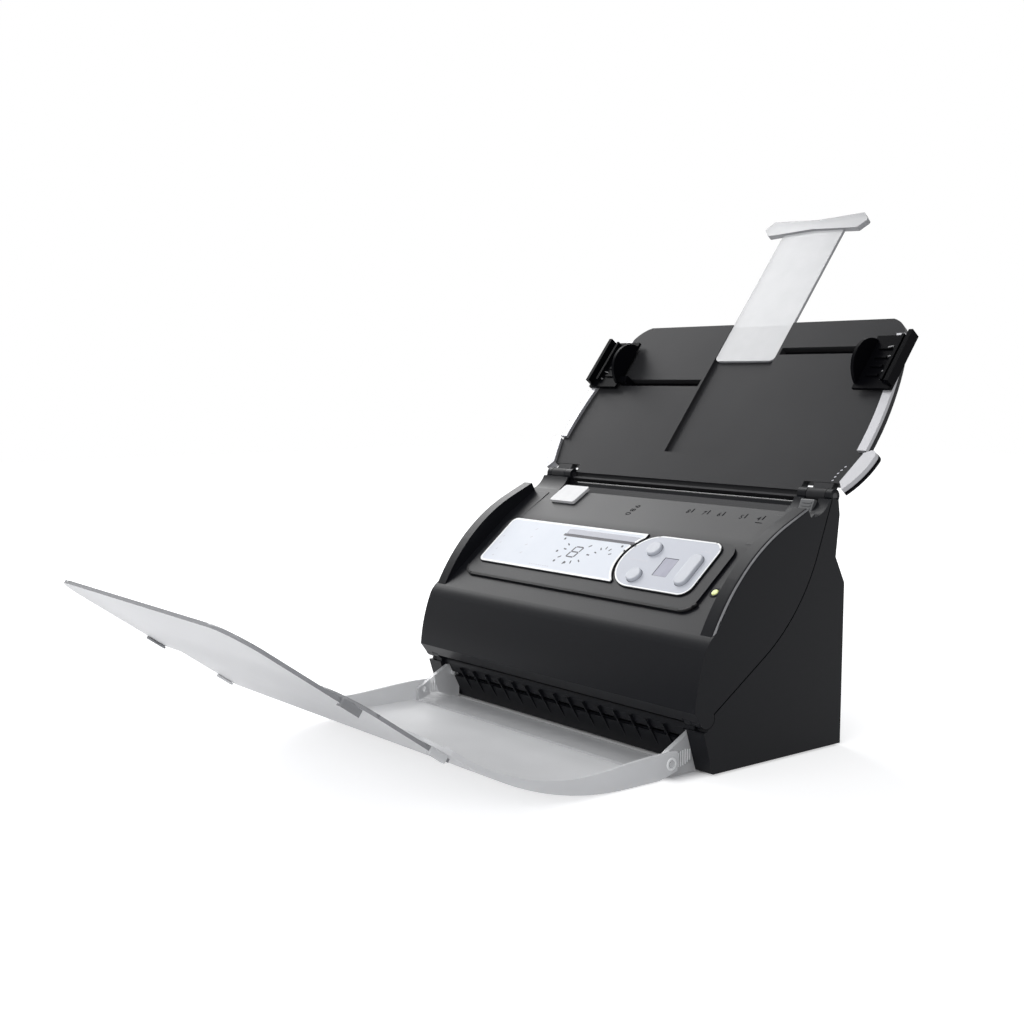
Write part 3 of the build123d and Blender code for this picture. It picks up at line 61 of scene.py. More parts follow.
class Shade:
    """A shader socket that takes arithmetic, and the node tree that it lives in."""

    def __init__(self, tree, socket):
        self.tree = tree
        self.socket = socket

    def math(self, operation, *values):
        return self.node("ShaderNodeMath", {"operation": operation}, values)

    def node(self, kind, settings, inputs, output=0):
        made = self.tree.nodes.new(kind)
        for name, value in settings.items():
            setattr(made, name, value)
        pairs = inputs.items() if isinstance(inputs, dict) else enumerate(inputs)
        for name, value in pairs:
            if isinstance(value, Shade):
                self.tree.links.new(value.socket, made.inputs[name])
            else:
                made.inputs[name].default_value = value
        return Shade(self.tree, made.outputs[output])

    def __add__(self, other):
        return self.math("ADD", self, other)

    def __mul__(self, other):
        return self.math("MULTIPLY", self, other)

    def __sub__(self, other):
        return self.math("SUBTRACT", self, other)

    def __rsub__(self, other):
        return self.math("SUBTRACT", other, self)

    __radd__ = __add__
    __rmul__ = __mul__


def blend_colour(factor, low, high):
    """Two colours mixed by a factor; either may be a link."""
    as_colour = lambda c: c if isinstance(c, Shade) else (*c, 1.0)
    inputs = {0: factor, 6: as_colour(low), 7: as_colour(high)}
    return factor.node("ShaderNodeMix", {"data_type": "RGBA"}, inputs, output=2)


floor_mesh_size = 6.0
bpy.ops.object.select_all(action="DESELECT")
bpy.ops.mesh.primitive_plane_add(size=floor_mesh_size, location=(0, 0, 0))
desk = bpy.context.object
desk.name = "desk_top"


def seen_rays(tree):
    """One where the camera, a mirror or clear plastic looks, nought where light is gathered."""
    rays = tree.nodes.new("ShaderNodeLightPath")
    camera_ray = Shade(tree, rays.outputs["Is Camera Ray"])
    total = camera_ray + Shade(tree, rays.outputs["Is Glossy Ray"])
    return total.math("ADD", total, Shade(tree, rays.outputs["Is Transmission Ray"]))


desk_material = bpy.data.materials.new("desk_white")
desk_material.use_nodes = True
tree = desk_material.node_tree
tree.nodes.clear()
output = tree.nodes.new("ShaderNodeOutputMaterial")
diffuse = tree.nodes.new("ShaderNodeBsdfDiffuse")
diffuse.inputs["Color"].default_value = (0.80, 0.80, 0.81, 1.0)
emission = tree.nodes.new("ShaderNodeEmission")
emission.inputs["Strength"].default_value = 1.0
coordinates = Shade(tree, tree.nodes.new("ShaderNodeTexCoord").outputs["Object"])
near_glow, far_glow, painted_shadow_glow = (0.58, 0.58, 0.58), (0.88, 0.88, 0.88), (0.04, 0.04, 0.04)
body_middle_depth = 0.065


def ramp(value, start, end):
    """Nought at the start and one at the end."""
    inputs = {"Value": value, "From Min": start, "From Max": end}
    return value.node("ShaderNodeMapRange", {}, inputs)


as_length = {"operation": "LENGTH"}
reach = coordinates.node("ShaderNodeVectorMath", as_length, {0: coordinates}, output=1)
away = ramp(reach, 0.2, 1.3)
across = coordinates.node("ShaderNodeSeparateXYZ", {}, {0: coordinates})
from_side = across.math("ABSOLUTE", across)
along = Shade(tree, across.socket.node.outputs[1])
from_front = along.math("ABSOLUTE", along - body_middle_depth)
# Under the body the glow falls almost to black: a painted shadow, seen in the gap behind the tray.
under_width = ramp(from_side, 0.130, 0.120)
under_depth = ramp(from_front, 0.074, 0.066)
open_glow = blend_colour(away, near_glow, far_glow)
painted_shadow_under_body = under_width * under_depth
glow = blend_colour(painted_shadow_under_body, open_glow, painted_shadow_glow)
tree.links.new(glow.socket, emission.inputs["Color"])
total = tree.nodes.new("ShaderNodeAddShader")
switch = tree.nodes.new("ShaderNodeMixShader")
tree.links.new(diffuse.outputs[0], total.inputs[0])
tree.links.new(emission.outputs[0], total.inputs[1])
tree.links.new(seen_rays(tree).socket, switch.inputs[0])
tree.links.new(diffuse.outputs[0], switch.inputs[1])
tree.links.new(total.outputs[0], switch.inputs[2])
tree.links.new(switch.outputs[0], output.inputs[0])
desk.data.materials.append(desk_material)

world = bpy.data.worlds.new("surround")
scene.world = world
world.use_nodes = True
tree = world.node_tree
tree.nodes.clear()
output = tree.nodes.new("ShaderNodeOutputWorld")
seen = tree.nodes.new("ShaderNodeBackground")
seen.inputs["Color"].default_value = (1.0, 1.0, 1.0, 1.0)
seen.inputs["Strength"].default_value = 1.0
lighting = tree.nodes.new("ShaderNodeBackground")
lighting.inputs["Color"].default_value = (0.96, 0.98, 1.0, 1.0)
lighting.inputs["Strength"].default_value = 0.34
switch = tree.nodes.new("ShaderNodeMixShader")
tree.links.new(seen_rays(tree).socket, switch.inputs[0])
tree.links.new(lighting.outputs[0], switch.inputs[1])
tree.links.new(seen.outputs[0], switch.inputs[2])
tree.links.new(switch.outputs[0], output.inputs[0])

lamp_aim = Vector((0, 0, 0.1))
for name, place, size, watts in (
    ("left_soft_box", (-1.25, 0.22, 1.05), 1.1, 18.0),
    ("top_soft_box", (0.0, -0.2, 1.6), 1.0, 2.5),
    ("front_soft_box", (0.8, -1.35, 0.8), 1.0, 11.0),
):
    lamp_data = bpy.data.lights.new(name, "AREA")
    lamp_data.shape = "SQUARE"
    lamp_data.size = size
    lamp_data.energy = watts
    lamp = bpy.data.objects.new(name, lamp_data)
    lamp.location = place
    towards = lamp_aim - Vector(place)
    lamp.rotation_euler = towards.to_track_quat("-Z", "Y").to_euler()
    lamp.visible_camera = False
    scene.collection.objects.link(lamp)

# Casing: both shells and the bottom pan are injection-moulded black plastic
# with a fine satin texture, a little smoother where it is handled. The pan is
# screwed up into the base, and the cover swings on two pins.
def new_material(name, colour, roughness, **constants):
    """A principled material, its shader, and a Shade on its object coordinates."""
    material = bpy.data.materials.new(name)
    material.use_nodes = True
    tree = material.node_tree
    shader = next(n for n in tree.nodes if n.type == "BSDF_PRINCIPLED")
    shader.inputs["Base Color"].default_value = (*colour, 1.0)
    shader.inputs["Roughness"].default_value = roughness
    for key, value in constants.items():
        shader.inputs[key.replace("_", " ")].default_value = value
    coordinates = tree.nodes.new("ShaderNodeTexCoord")
    return material, shader, Shade(tree, coordinates.outputs["Object"])


def feed(shader, socket, value):
    """Links a Shade to a socket of the shader."""
    value.tree.links.new(value.socket, shader.inputs[socket])


def noise(place, scale, detail=2.0):
    """A cloudy pattern with so many cells to the metre."""
    inputs = {"Vector": place, "Scale": scale, "Detail": detail, "Roughness": 0.5}
    return place.node("ShaderNodeTexNoise", {}, inputs)


def roughen(shader, pattern, low, span):
    """Roughness that follows a pattern, from low to low and span."""
    feed(shader, "Roughness", pattern * span + low)


def tint(shader, pattern, low, high):
    """A colour that follows a pattern, from one shade to another."""
    feed(shader, "Base Color", blend_colour(pattern, low, high))


def emboss(shader, pattern, strength, depth):
    """A fine relief that follows a pattern."""
    inputs = {"Strength": strength, "Distance": depth, "Height": pattern}
    feed(shader, "Normal", pattern.node("ShaderNodeBump", {}, inputs))


def dress(material, *names):
    """Gives CAD nodes a material in every slot."""
    for name in names:
        mesh = nodes[name].data
        mesh.materials.clear()
        mesh.materials.append(material)


casing_colour = (0.0085, 0.009, 0.011)
shell, shader, place = new_material("casing_black", casing_colour, 0.34, Specular_IOR_Level=0.10)
speckle = noise(place, 2600.0, 3.0)
cloud = noise(place, 14.0, 2.0)
speckle_span, cloud_span, polished = 0.10, 0.08, 0.25
feed(shader, "Roughness", speckle * speckle_span + cloud * cloud_span + polished)
tint(shader, speckle, (0.0072, 0.0076, 0.0095), (0.0100, 0.0105, 0.0128))
emboss(shader, speckle, 0.25, 0.00006)
dress(shell, "base_housing", "front_cover", "base_pan")

# Guide plates, scan unit housings, power socket and pad shoe: plain inner
# mouldings of smooth dark plastic, clipped or screwed inside the two shells.
inner, shader, place = new_material("inner_moulding", (0.03, 0.03, 0.033), 0.42)
grain = noise(place, 1800.0)
roughen(shader, grain, low=0.36, span=0.12)
emboss(shader, grain, 0.2, 0.00005)
dress(inner, "lower_guide_plate", "upper_guide_plate", "lower_scan_unit", "upper_scan_unit",
      "power_jack", "pad_shoe")

# Rubber parts: the feet stuck under the pan, the tyres pressed on the roller
# shafts, the drive's belts and the separation pad, all matt black.
rubber, shader, place = new_material("soft_rubber", (0.016, 0.016, 0.017), 0.75)
grain = noise(place, 900.0, 4.0)
tint(shader, grain, (0.012, 0.012, 0.013), (0.03, 0.03, 0.031))
roughen(shader, grain, low=0.62, span=0.2)
emboss(shader, grain, 0.35, 0.0001)
dress(rubber, "rubber_feet", "feed_roller_tyres", "transport_roller_tyres", "exit_roller_tyres",
      "separation_pad", "motor_belt", "feed_belt", "exit_belt")

# Steel parts: shafts, pins, screws, side frames, the motor can and the data
# socket, drawn or stamped, with a fine brushed grain.
steel, shader, place = new_material("plain_steel", (0.56, 0.57, 0.59), 0.3, Metallic=1.0)
brushed = place.node("ShaderNodeMapping", {}, {"Vector": place, "Scale": (4.0, 900.0, 900.0)})
streak = noise(brushed, 1.0, 3.0)
roughen(shader, streak, low=0.2, span=0.25)
dress(steel, "pan_screws", "left_side_frame", "right_side_frame", "drive_motor", "usb_socket",
      "motor_shaft", "feed_roller_shaft", "transport_roller_shaft", "exit_roller_shaft")
blued, shader, place = new_material("pin_steel_black", (0.03, 0.03, 0.033), 0.35, Metallic=0.4)
streak = noise(place, 1200.0, 3.0)
roughen(shader, streak, low=0.26, span=0.2)
dress(blued, "cover_hinge_pins", "chute_hinge_pins")

# Pulleys, idle rollers and the pinion of the paper guides: white acetal,
# moulded, and pressed or set loose on their shafts.
acetal, shader, place = new_material("white_acetal", (0.78, 0.77, 0.74), 0.4)
grain = noise(place, 600.0)
roughen(shader, grain, low=0.34, span=0.1)
dress(acetal, "motor_pulley", "feed_pulley", "transport_pulley", "exit_pulley",
      "transport_pinch", "exit_pinch", "guide_pinion")

# Circuit boards: glass-fibre board with green lacquer over copper tracks, one
# screwed in the base and one behind the panel.
board, shader, place = new_material("board_green", (0.02, 0.13, 0.05), 0.35)
track_inputs = {"Vector": place, "Scale": 160.0, "Mortar Size": 0.03}
tracks = place.node("ShaderNodeTexBrick", {}, track_inputs, output=1)
tint(shader, tracks, (0.018, 0.12, 0.05), (0.05, 0.22, 0.08))
dress(board, "main_board", "panel_board")

# Scan windows: strips of clear glass with a dark sensor behind, glued in the
# two scan units on either side of the paper path.
glass, shader, place = new_material("window_glass", (0.12, 0.14, 0.15), 0.04, Alpha=0.5)
smear = noise(place, 40.0)
roughen(shader, smear, low=0.02, span=0.05)
dress(glass, "lower_glass", "upper_glass")

# Label plate and button plate: pale silver-blue moulded plastic with a satin
# face, each with a white painted rim and a dark joint line round it.
plate_colour, pod_colour = (0.70, 0.735, 0.80), (0.55, 0.57, 0.63)
plate, shader, place = new_material("plate_pale_blue", plate_colour, 0.3, Specular_IOR_Level=0.12)
grain = noise(place, 1500.0)
mottle = noise(place, 60.0)
roughen(shader, grain, low=0.26, span=0.08)
tint(shader, mottle, (0.68, 0.72, 0.79), (0.75, 0.78, 0.84))
dress(plate, "label_plate")
pod, shader, place = new_material("pod_silver_blue", pod_colour, 0.3, Specular_IOR_Level=0.12)
grain = noise(place, 1500.0)
roughen(shader, grain, low=0.26, span=0.08)
tint(shader, grain, (0.53, 0.55, 0.61), (0.57, 0.59, 0.65))
dress(pod, "button_plate")

# The panel hangs from the crease where the feed lip ends. Places on it are in
# flat millimetres, x across it and y up its slope.
panel_slope = 39.54
facing_up, standing = 0.99, 0.2
crease = Vector((0.0, 0.014 - depth_middle, 0.1238))
panel_place = Matrix.Translation(crease) @ Matrix.Rotation(math.radians(panel_slope), 4, "X")
panel_up = panel_place.to_3x3() @ Vector((0, 0, 1))
panel_flat = panel_place.inverted()
pod_holes = (
    (43.8, -16.0, 6.6, 6.6),
    (43.8, -38.5, 6.6, 6.6),
    (82.5, -28.5, 6.4, 14.0),
    (62.5, -28.5, 6.6, 8.4),
)


def in_a_hole(point):
    """Whether a point of the panel lies at one of the openings of the button plate."""
    flat = panel_flat @ point * 1000.0
    return any(
        abs(flat.x - x) < half_x and abs(flat.y - y) < half_y
        for x, y, half_x, half_y in pod_holes
    )


def skin_of(node, name, wanted):
    """A copy of those faces of a CAD node that are wanted, merged, as an object of its own."""
    bpy.ops.object.select_all(action="DESELECT")
    skin = bpy.data.objects.new(name, nodes[node].data.copy())
    scene.collection.objects.link(skin)
    bpy.context.view_layer.objects.active = skin
    skin.select_set(True)
    skin.data.materials.clear()
    bpy.ops.object.mode_set(mode="EDIT")
    bpy.ops.mesh.select_mode(type="FACE")
    bpy.ops.mesh.select_all(action="SELECT")
    bpy.ops.mesh.remove_doubles(threshold=0.000002)
    bpy.ops.mesh.select_all(action="DESELECT")
    shape = bmesh.from_edit_mesh(skin.data)
    for face in shape.faces:
        face.select_set(not wanted(face.calc_center_median(), face.normal))
    bmesh.update_edit_mesh(skin.data)
    bpy.ops.mesh.delete(type="FACE")
    bpy.ops.object.mode_set(mode="OBJECT")
    return skin


def thicken(skin, thickness):
    """Gives an open skin its wall, all of it on the outside."""
    wall = skin.modifiers.new("wall", "SOLIDIFY")
    wall.thickness = thickness
    wall.offset = 1.0
    bpy.ops.object.modifier_apply(modifier="wall")


def fasten(piece, material, body):
    """Material and body of a finished piece."""
    piece.data.materials.clear()
    piece.data.materials.append(material)
    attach(piece, body)


rim_and_highlight_colour, joint_and_shade_colour = (0.88, 0.89, 0.90), (0.006, 0.006, 0.007)
# This white is the plates' rims, the mount's pins and the pivot rings, and also the painted
# highlight on the grip ribs.
white_rim_and_highlight, shader, place = new_material("white_rim_and_highlight", rim_and_highlight_colour, 0.3, Specular_IOR_Level=0.3)
grain = noise(place, 1500.0)
roughen(shader, grain, low=0.26, span=0.1)
# One black serves the plates' joints and the lamp's collar, and also paints shade in the keys'
# wells and under the panel.
black_joint_and_shade, shader, place = new_material("black_joint_and_shade", joint_and_shade_colour, 0.6, Specular_IOR_Level=0.2)
grain = noise(place, 1500.0)
roughen(shader, grain, low=0.5, span=0.2)
for node, width in (("label_plate", 0.0016), ("button_plate", 0.0010)):
    rim = skin_of(node, node + "_rim", lambda point, normal: normal.dot(panel_up) > facing_up)
    bpy.ops.object.mode_set(mode="EDIT")
    bpy.ops.mesh.select_all(action="SELECT")
    bpy.ops.mesh.inset(thickness=width, use_boundary=True, use_even_offset=True)
    bpy.ops.mesh.delete(type="FACE")
    shape = bmesh.from_edit_mesh(rim.data)
    for face in shape.faces:
        face.select_set(node == "button_plate" and in_a_hole(face.calc_center_median()))
    bmesh.update_edit_mesh(rim.data)
    bpy.ops.mesh.delete(type="FACE")
    bpy.ops.object.mode_set(mode="OBJECT")
    thicken(rim, 0.00006)
    fasten(rim, white_rim_and_highlight, "cover")
    joint = skin_of(
        node, node + "_joint",
        lambda point, normal: abs(normal.dot(panel_up)) < standing and not in_a_hole(point),
    )
    thicken(joint, 0.00055)
    fasten(joint, black_joint_and_shade, "cover")
# The walls of the keys' wells get a thin black skin: painted shade in the gap round each key.
key_well_shade = skin_of(
    "button_plate", "button_well_shade",
    lambda point, normal: abs(normal.dot(panel_up)) < standing and in_a_hole(point),
)
thicken(key_well_shade, 0.00022)
fasten(key_well_shade, black_joint_and_shade, "cover")

# Painted shadow under the raised panel: a thin black skin on the step along the
# panel's lower edge and its corners, standing for the shade under its overhang.
slope_down = panel_place.to_3x3() @ Vector((0, -1, 0))


def under_the_panel(point, normal):
    """Whether a face of the cover is the step at the panel's lower edge."""
    flat = panel_flat @ point * 1000.0
    a_step = abs(normal.dot(panel_up)) < standing and normal.dot(slope_down) > 0.3
    return a_step and 0.1 < flat.z < 1.7 and flat.y < -38.0 and abs(flat.x) < 116.0


panel_shadow_strip = skin_of("front_cover", "panel_painted_shadow", under_the_panel)
thicken(panel_shadow_strip, 0.0019)
fasten(panel_shadow_strip, black_joint_and_shade, "cover")

# Printing on the label: a grey heading bar, a counter figure with its short
# rays, dots and small ticks, in thin dark, grey and pale inks printed on the
# two plates.
bpy.ops.object.select_all(action="DESELECT")
bpy.ops.mesh.primitive_cube_add(size=1.0, location=(0, 0, 0))
ink_bar = bpy.context.object
ink_bar.name = "ink_bar"
bpy.ops.object.mode_set(mode="EDIT")
bpy.ops.mesh.select_all(action="SELECT")
bpy.ops.transform.resize(value=(0.001, 0.001, 0.00004))
shape = bmesh.from_edit_mesh(ink_bar.data)
bpy.ops.mesh.select_all(action="DESELECT")
for edge in shape.edges:
    rise = edge.verts[0].co.z - edge.verts[1].co.z
    edge.select_set(abs(rise) > 0.00002)
bmesh.update_edit_mesh(ink_bar.data)
bpy.ops.mesh.bevel(offset=0.00012, segments=2)
bpy.ops.object.mode_set(mode="OBJECT")


def moved_to(x, y, z):
    """A move to a place in flat millimetres."""
    return Matrix.Translation((x / 1000.0, y / 1000.0, z / 1000.0))


def bar_at(x, y, z, length, width, turn=0.0, lean=0.0):
    """A copy of the bar: its middle and its two sizes in flat millimetres, its turn in degrees."""
    bar = bpy.data.objects.new("bar", ink_bar.data.copy())
    scene.collection.objects.link(bar)
    shear = Matrix(((1, lean, 0, 0), (0, 1, 0, 0), (0, 0, 1, 0), (0, 0, 0, 1)))
    size = Matrix.Diagonal((length, width, 1.0, 1.0))
    turned = Matrix.Rotation(math.radians(turn), 4, "Z")
    bar.data.transform(moved_to(x, y, z) @ turned @ shear @ size)
    return bar


def figure_at(words, x, y, z, height, turn=0.0):
    """Plain printed numbers in flat millimetres, made a mesh."""
    bpy.ops.object.select_all(action="DESELECT")
    bpy.ops.object.text_add(location=(0, 0, 0))
    figure = bpy.context.object
    figure.data.body = words
    figure.data.size = height / 1000.0
    figure.data.extrude = 0.00002
    figure.data.align_x = "CENTER"
    figure.data.align_y = "CENTER"
    bpy.ops.object.convert(target="MESH")
    figure = bpy.context.object
    turned = Matrix.Rotation(math.radians(turn), 4, "Z")
    figure.data.transform(moved_to(x, y, z) @ turned)
    return figure


def print_on(marks, name, where, material, body):
    """Joins flat marks to one piece and lays it on its sloping face."""
    bpy.ops.object.select_all(action="DESELECT")
    for mark in marks:
        mark.select_set(True)
    bpy.context.view_layer.objects.active = marks[0]
    if len(marks) > 1:
        bpy.ops.object.join()
    piece = bpy.context.object
    piece.name = name
    piece.data.transform(where)
    fasten(piece, material, body)


ink, shader, place = new_material("ink_dark", (0.03, 0.03, 0.04), 0.5, Specular_IOR_Level=0.3)
worn = noise(place, 900.0, 3.0)
tint(shader, worn, (0.02, 0.02, 0.03), (0.07, 0.07, 0.09))
roughen(shader, worn, low=0.4, span=0.2)
grey_ink, shader, place = new_material("ink_grey", (0.30, 0.31, 0.37), 0.4)
worn = noise(place, 900.0, 3.0)
tint(shader, worn, (0.27, 0.28, 0.34), (0.34, 0.35, 0.41))
pale_ink, shader, place = new_material("ink_pale", (0.55, 0.55, 0.60), 0.4)
worn = noise(place, 900.0, 3.0)
tint(shader, worn, (0.48, 0.48, 0.54), (0.62, 0.62, 0.67))

label_top = 2.53
heading = [bar_at(-9.4, -10.0, label_top, 68.5, 4.6)]
print_on(heading, "heading_bar", panel_place, grey_ink, "cover")
dark = [bar_at(-11.0, -13.3, label_top + 0.02, 68.0, 2.4)]

# The counter figure is built of seven leaning strokes.
figure_x, figure_y, figure_lean = -22.0, -27.0, 0.30
for up in (4.6, 0.0, -4.6):
    dark.append(bar_at(figure_x + figure_lean * up, figure_y + up, label_top, 6.4, 1.0))
for across in (-3.6, 3.6):
    for up in (2.3, -2.3):
        stroke_x = figure_x + across + figure_lean * up
        dark.append(bar_at(stroke_x, figure_y + up, label_top, 1.2, 4.0, lean=figure_lean))

# Rays stand round it at uneven distances, with dots outside them and a fan of
# short strokes to its right.
rays = (
    (-4, 13.5), (38, 12.0), (150, 12.5), (172, 11.0),
    (212, 12.0), (258, 11.5), (290, 10.5), (322, 12.5),
)
flattened = 0.9
for turn, distance in rays:
    bearing = math.radians(turn)
    ray_x = figure_x + distance * math.cos(bearing)
    ray_y = figure_y + flattened * distance * math.sin(bearing)
    dark.append(bar_at(ray_x, ray_y, label_top, 2.8, 1.0, turn))
dots = ((-40.7, -16.9), (14.7, -16.9), (-38.7, -28.3), (-34.1, -36.7), (-23.3, -37.0))
for x, y in dots:
    dark.append(bar_at(x, y, label_top, 1.7, 1.7))
fan_x, fan_y, fan_radius = 3.0, -27.0, 7.0
for turn in range(20, 200, 36):
    bearing = math.radians(turn)
    blade_x = fan_x + fan_radius * math.cos(bearing)
    blade_y = fan_y + fan_radius * math.sin(bearing)
    dark.append(bar_at(blade_x, blade_y, label_top, 2.4, 0.9, turn))
print_on(dark, "label_marks", panel_place, ink, "cover")

# Rows of small pale ticks stand on both plates, and two dots on the button plate.
faint = []
for count in range(4):
    faint.append(bar_at(-75.0 + 1.3 * count, -12.0 - 7.4 * count, label_top, 2.2, 0.7, 35.0))
    faint.append(bar_at(-101.5 + 1.8 * count, -22.0 - 6.0 * count, label_top, 1.6, 0.6, 35.0))
for count in range(9):
    faint.append(bar_at(-54.0 + 2.3 * count, -42.3, label_top, 1.4, 0.5))
for y in (-15.6, -37.6):
    faint.append(bar_at(36.8, y, label_top, 1.6, 1.6, 45.0))
for count in range(6):
    faint.append(bar_at(29.5 + 2.9 * count, -25.8, label_top, 1.7, 1.0))
for count in range(3):
    faint.append(bar_at(81.0 + 3.0 * count, -12.4, label_top, 1.7, 1.0))
print_on(faint, "label_faint_marks", panel_place, pale_ink, "cover")

# Size marks on the feed lip: dark ticks with plain numbers along its rear
# edge, and a short column of numbers by its middle, stamped in matt black ink.
lip_slope = 31.84
lip_place = Matrix.Translation(crease) @ Matrix.Rotation(math.radians(lip_slope), 4, "X")
lip_top = 0.03
highest_mark = 8
marks = []
for count, x in enumerate((40.6, 54.3, 67.1, 85.4, 99.5)):
    marks.append(bar_at(x, 25.6, lip_top, 0.9, 4.2))
    marks.append(figure_at(str(highest_mark - count), x - 3.2, 24.4, lip_top, 5.4))
marks.append(bar_at(99.0, 20.6, lip_top, 5.5, 0.6))
for count, figure in enumerate("086"):
    across, up = -10.0 + 0.7 * count, 15.8 + 4.2 * count
    marks.append(figure_at(figure, across, up, lip_top, 6.4, 90.0))
mark_colour = (0.004, 0.004, 0.005)
mark_ink, shader, place = new_material("ink_mark", mark_colour, 0.8, Specular_IOR_Level=0.0)
worn = noise(place, 1500.0, 3.0)
tint(shader, worn, (0.003, 0.003, 0.004), (0.012, 0.012, 0.014))
print_on(marks, "size_marks", lip_place, mark_ink, "cover")
bpy.data.objects.remove(ink_bar)

# Keys: moulded in the same silver-blue plastic as their plate, a little greyer
# and smoother where fingers press. They stand in its wells on light springs.
key_colour = (0.50, 0.52, 0.57)
keys, shader, place = new_material("key_silver", key_colour, 0.26, Specular_IOR_Level=0.25)
grain = noise(place, 1500.0)
roughen(shader, grain, low=0.22, span=0.06)
tint(shader, grain, (0.48, 0.50, 0.55), (0.53, 0.55, 0.60))
dress(keys, "up_button", "down_button", "scan_button")

# Display window: smoked mauve-grey plastic over a pale figure field, pressed
# into its opening in the button plate.
window_colour = (0.34, 0.34, 0.42)
window, shader, place = new_material("window_smoke", window_colour, 0.2, Specular_IOR_Level=0.12)
drawn_out = place.node("ShaderNodeMapping", {}, {"Vector": place, "Scale": (1.0, 0.3, 0.3)})
streak = noise(drawn_out, 260.0, 2.0)
tint(shader, streak, (0.29, 0.29, 0.37), (0.43, 0.43, 0.51))
roughen(shader, streak, low=0.15, span=0.1)
dress(window, "display_window")

# Status lamp: a yellow-green plastic lens in a small black collar, both
# pressed into the cover beside the panel.
lens, shader, place = new_material("lens_green", (0.66, 0.72, 0.16), 0.2)
glow_inputs = {"Vector": place, "Scale": 700.0, "Detail": 1.0}
centre = place.node("ShaderNodeTexNoise", {}, glow_inputs)
tint(shader, centre, (0.50, 0.58, 0.10), (0.85, 0.88, 0.40))
dress(lens, "status_lamp")
bpy.ops.object.select_all(action="DESELECT")
bpy.ops.mesh.primitive_torus_add(
    major_radius=0.0030, minor_radius=0.0007, major_segments=40, minor_segments=10
)
collar = bpy.context.object
collar.name = "lamp_collar"
bpy.ops.object.mode_set(mode="EDIT")
bpy.ops.mesh.select_all(action="SELECT")
bpy.ops.transform.resize(value=(1.0, 1.0, 0.55))
bpy.ops.object.mode_set(mode="OBJECT")
collar.data.transform(panel_place @ Matrix.Translation((0.110, -0.0395, 0.00015)))
bpy.ops.object.shade_smooth()
fasten(collar, black_joint_and_shade, "cover")

# Feed tab: a light grey moulded clip that sits over the left end of the feed
# lip, with the same satin face as the label plate.
tab_colour = (0.64, 0.64, 0.65)
tab, shader, place = new_material("tab_light_grey", tab_colour, 0.35, Specular_IOR_Level=0.15)
grain = noise(place, 1500.0)
cloud = noise(place, 120.0)
roughen(shader, grain, low=0.3, span=0.1)
tint(shader, cloud, (0.61, 0.61, 0.62), (0.70, 0.70, 0.71))
dress(tab, "feed_tab")

# Release lever: a mid-grey moulded lever in the right ear of the base, turning
# on its own pivot there. It lets the cover go.
lever, shader, place = new_material("lever_grey", (0.12, 0.122, 0.126), 0.38)
grain = noise(place, 1500.0)
roughen(shader, grain, low=0.33, span=0.1)
emboss(shader, grain, 0.2, 0.00005)
dress(lever, "release_lever")

# Paper chute: a smoke-dark moulded plate that swings on two pins in the base's
# ears. The rack cover screwed on behind it is the same plastic.
smoke_colour = (0.028, 0.028, 0.030)
smoke, shader, place = new_material("chute_smoke", smoke_colour, 0.4, Specular_IOR_Level=0.06)
grain = noise(place, 2200.0)
cloud = noise(place, 18.0)
roughen(shader, grain, low=0.34, span=0.1)
tint(shader, cloud, (0.024, 0.024, 0.026), (0.035, 0.035, 0.037))
emboss(shader, grain, 0.15, 0.00005)
dress(smoke, "paper_chute", "rack_cover")

# Rails and wings: silver-painted plastic clipped over the chute's edges, with a flat face that
# reads bright and rolled sides that read darker; on the wings that darker side is painted shade.
silver, shader, place = new_material("trim_silver", (0.42, 0.42, 0.44), 0.34, Metallic=0.35)
flake = noise(place, 3500.0)
roughen(shader, flake, low=0.28, span=0.12)
tint(shader, flake, (0.36, 0.36, 0.38), (0.48, 0.48, 0.50))
dress(silver, "chute_rails", "chute_wings")

# Paper guides: two deep black moulded slides in the chute's slots. A pinion
# behind the chute joins their racks, so that they move together.
guide_colour = (0.003, 0.003, 0.004)
guide, shader, place = new_material("guide_black", guide_colour, 0.3, Specular_IOR_Level=0.02)
grain = noise(place, 2200.0)
roughen(shader, grain, low=0.25, span=0.1)
dress(guide, "left_paper_guide", "right_paper_guide")

# Small pale ticks on the chute's right flange and raised finger ridges on the guides,
# moulded with the parts they stand on; the ridges' lighter grey is a painted highlight.
chute_slope = 52.25
chute_foot = Matrix.Translation((0.0, 0.0625 - depth_middle, 0.151))
chute_place = chute_foot @ Matrix.Rotation(math.radians(chute_slope), 4, "X")
chute_flat = chute_place.inverted()
chute_up = chute_place.to_3x3() @ Vector((0, 0, 1))


def face_height(node, x, y):
    """How high a CAD node's face stands over the chute's plane, in flat millimetres."""
    start = chute_place @ Vector((x / 1000.0, y / 1000.0, 0.03))
    down = chute_place.to_3x3() @ Vector((0, 0, -1))
    hit, point, _, _ = nodes[node].ray_cast(start, down)
    return (chute_flat @ point).z * 1000.0 if hit else None


bpy.ops.object.select_all(action="DESELECT")
bpy.ops.mesh.primitive_cube_add(size=0.001, location=(0, 0, 0))
ridge = bpy.context.object
ridge.name = "ridge_pattern"
ridge_bevel = ridge.modifiers.new("round", "BEVEL")
ridge_bevel.width = 0.00022
ridge_bevel.segments = 3
bpy.ops.object.modifier_apply(modifier="round")


def ridge_at(x, y, z, length, width, height, turn):
    """A copy of the rounded ridge: middle and sizes in flat millimetres, turn in degrees."""
    one = bpy.data.objects.new("ridge", ridge.data.copy())
    scene.collection.objects.link(one)
    size = Matrix.Diagonal((length, width, height, 1.0))
    turned = Matrix.Rotation(math.radians(turn), 4, "Z")
    one.data.transform(moved_to(x, y, z) @ turned @ size)
    return one


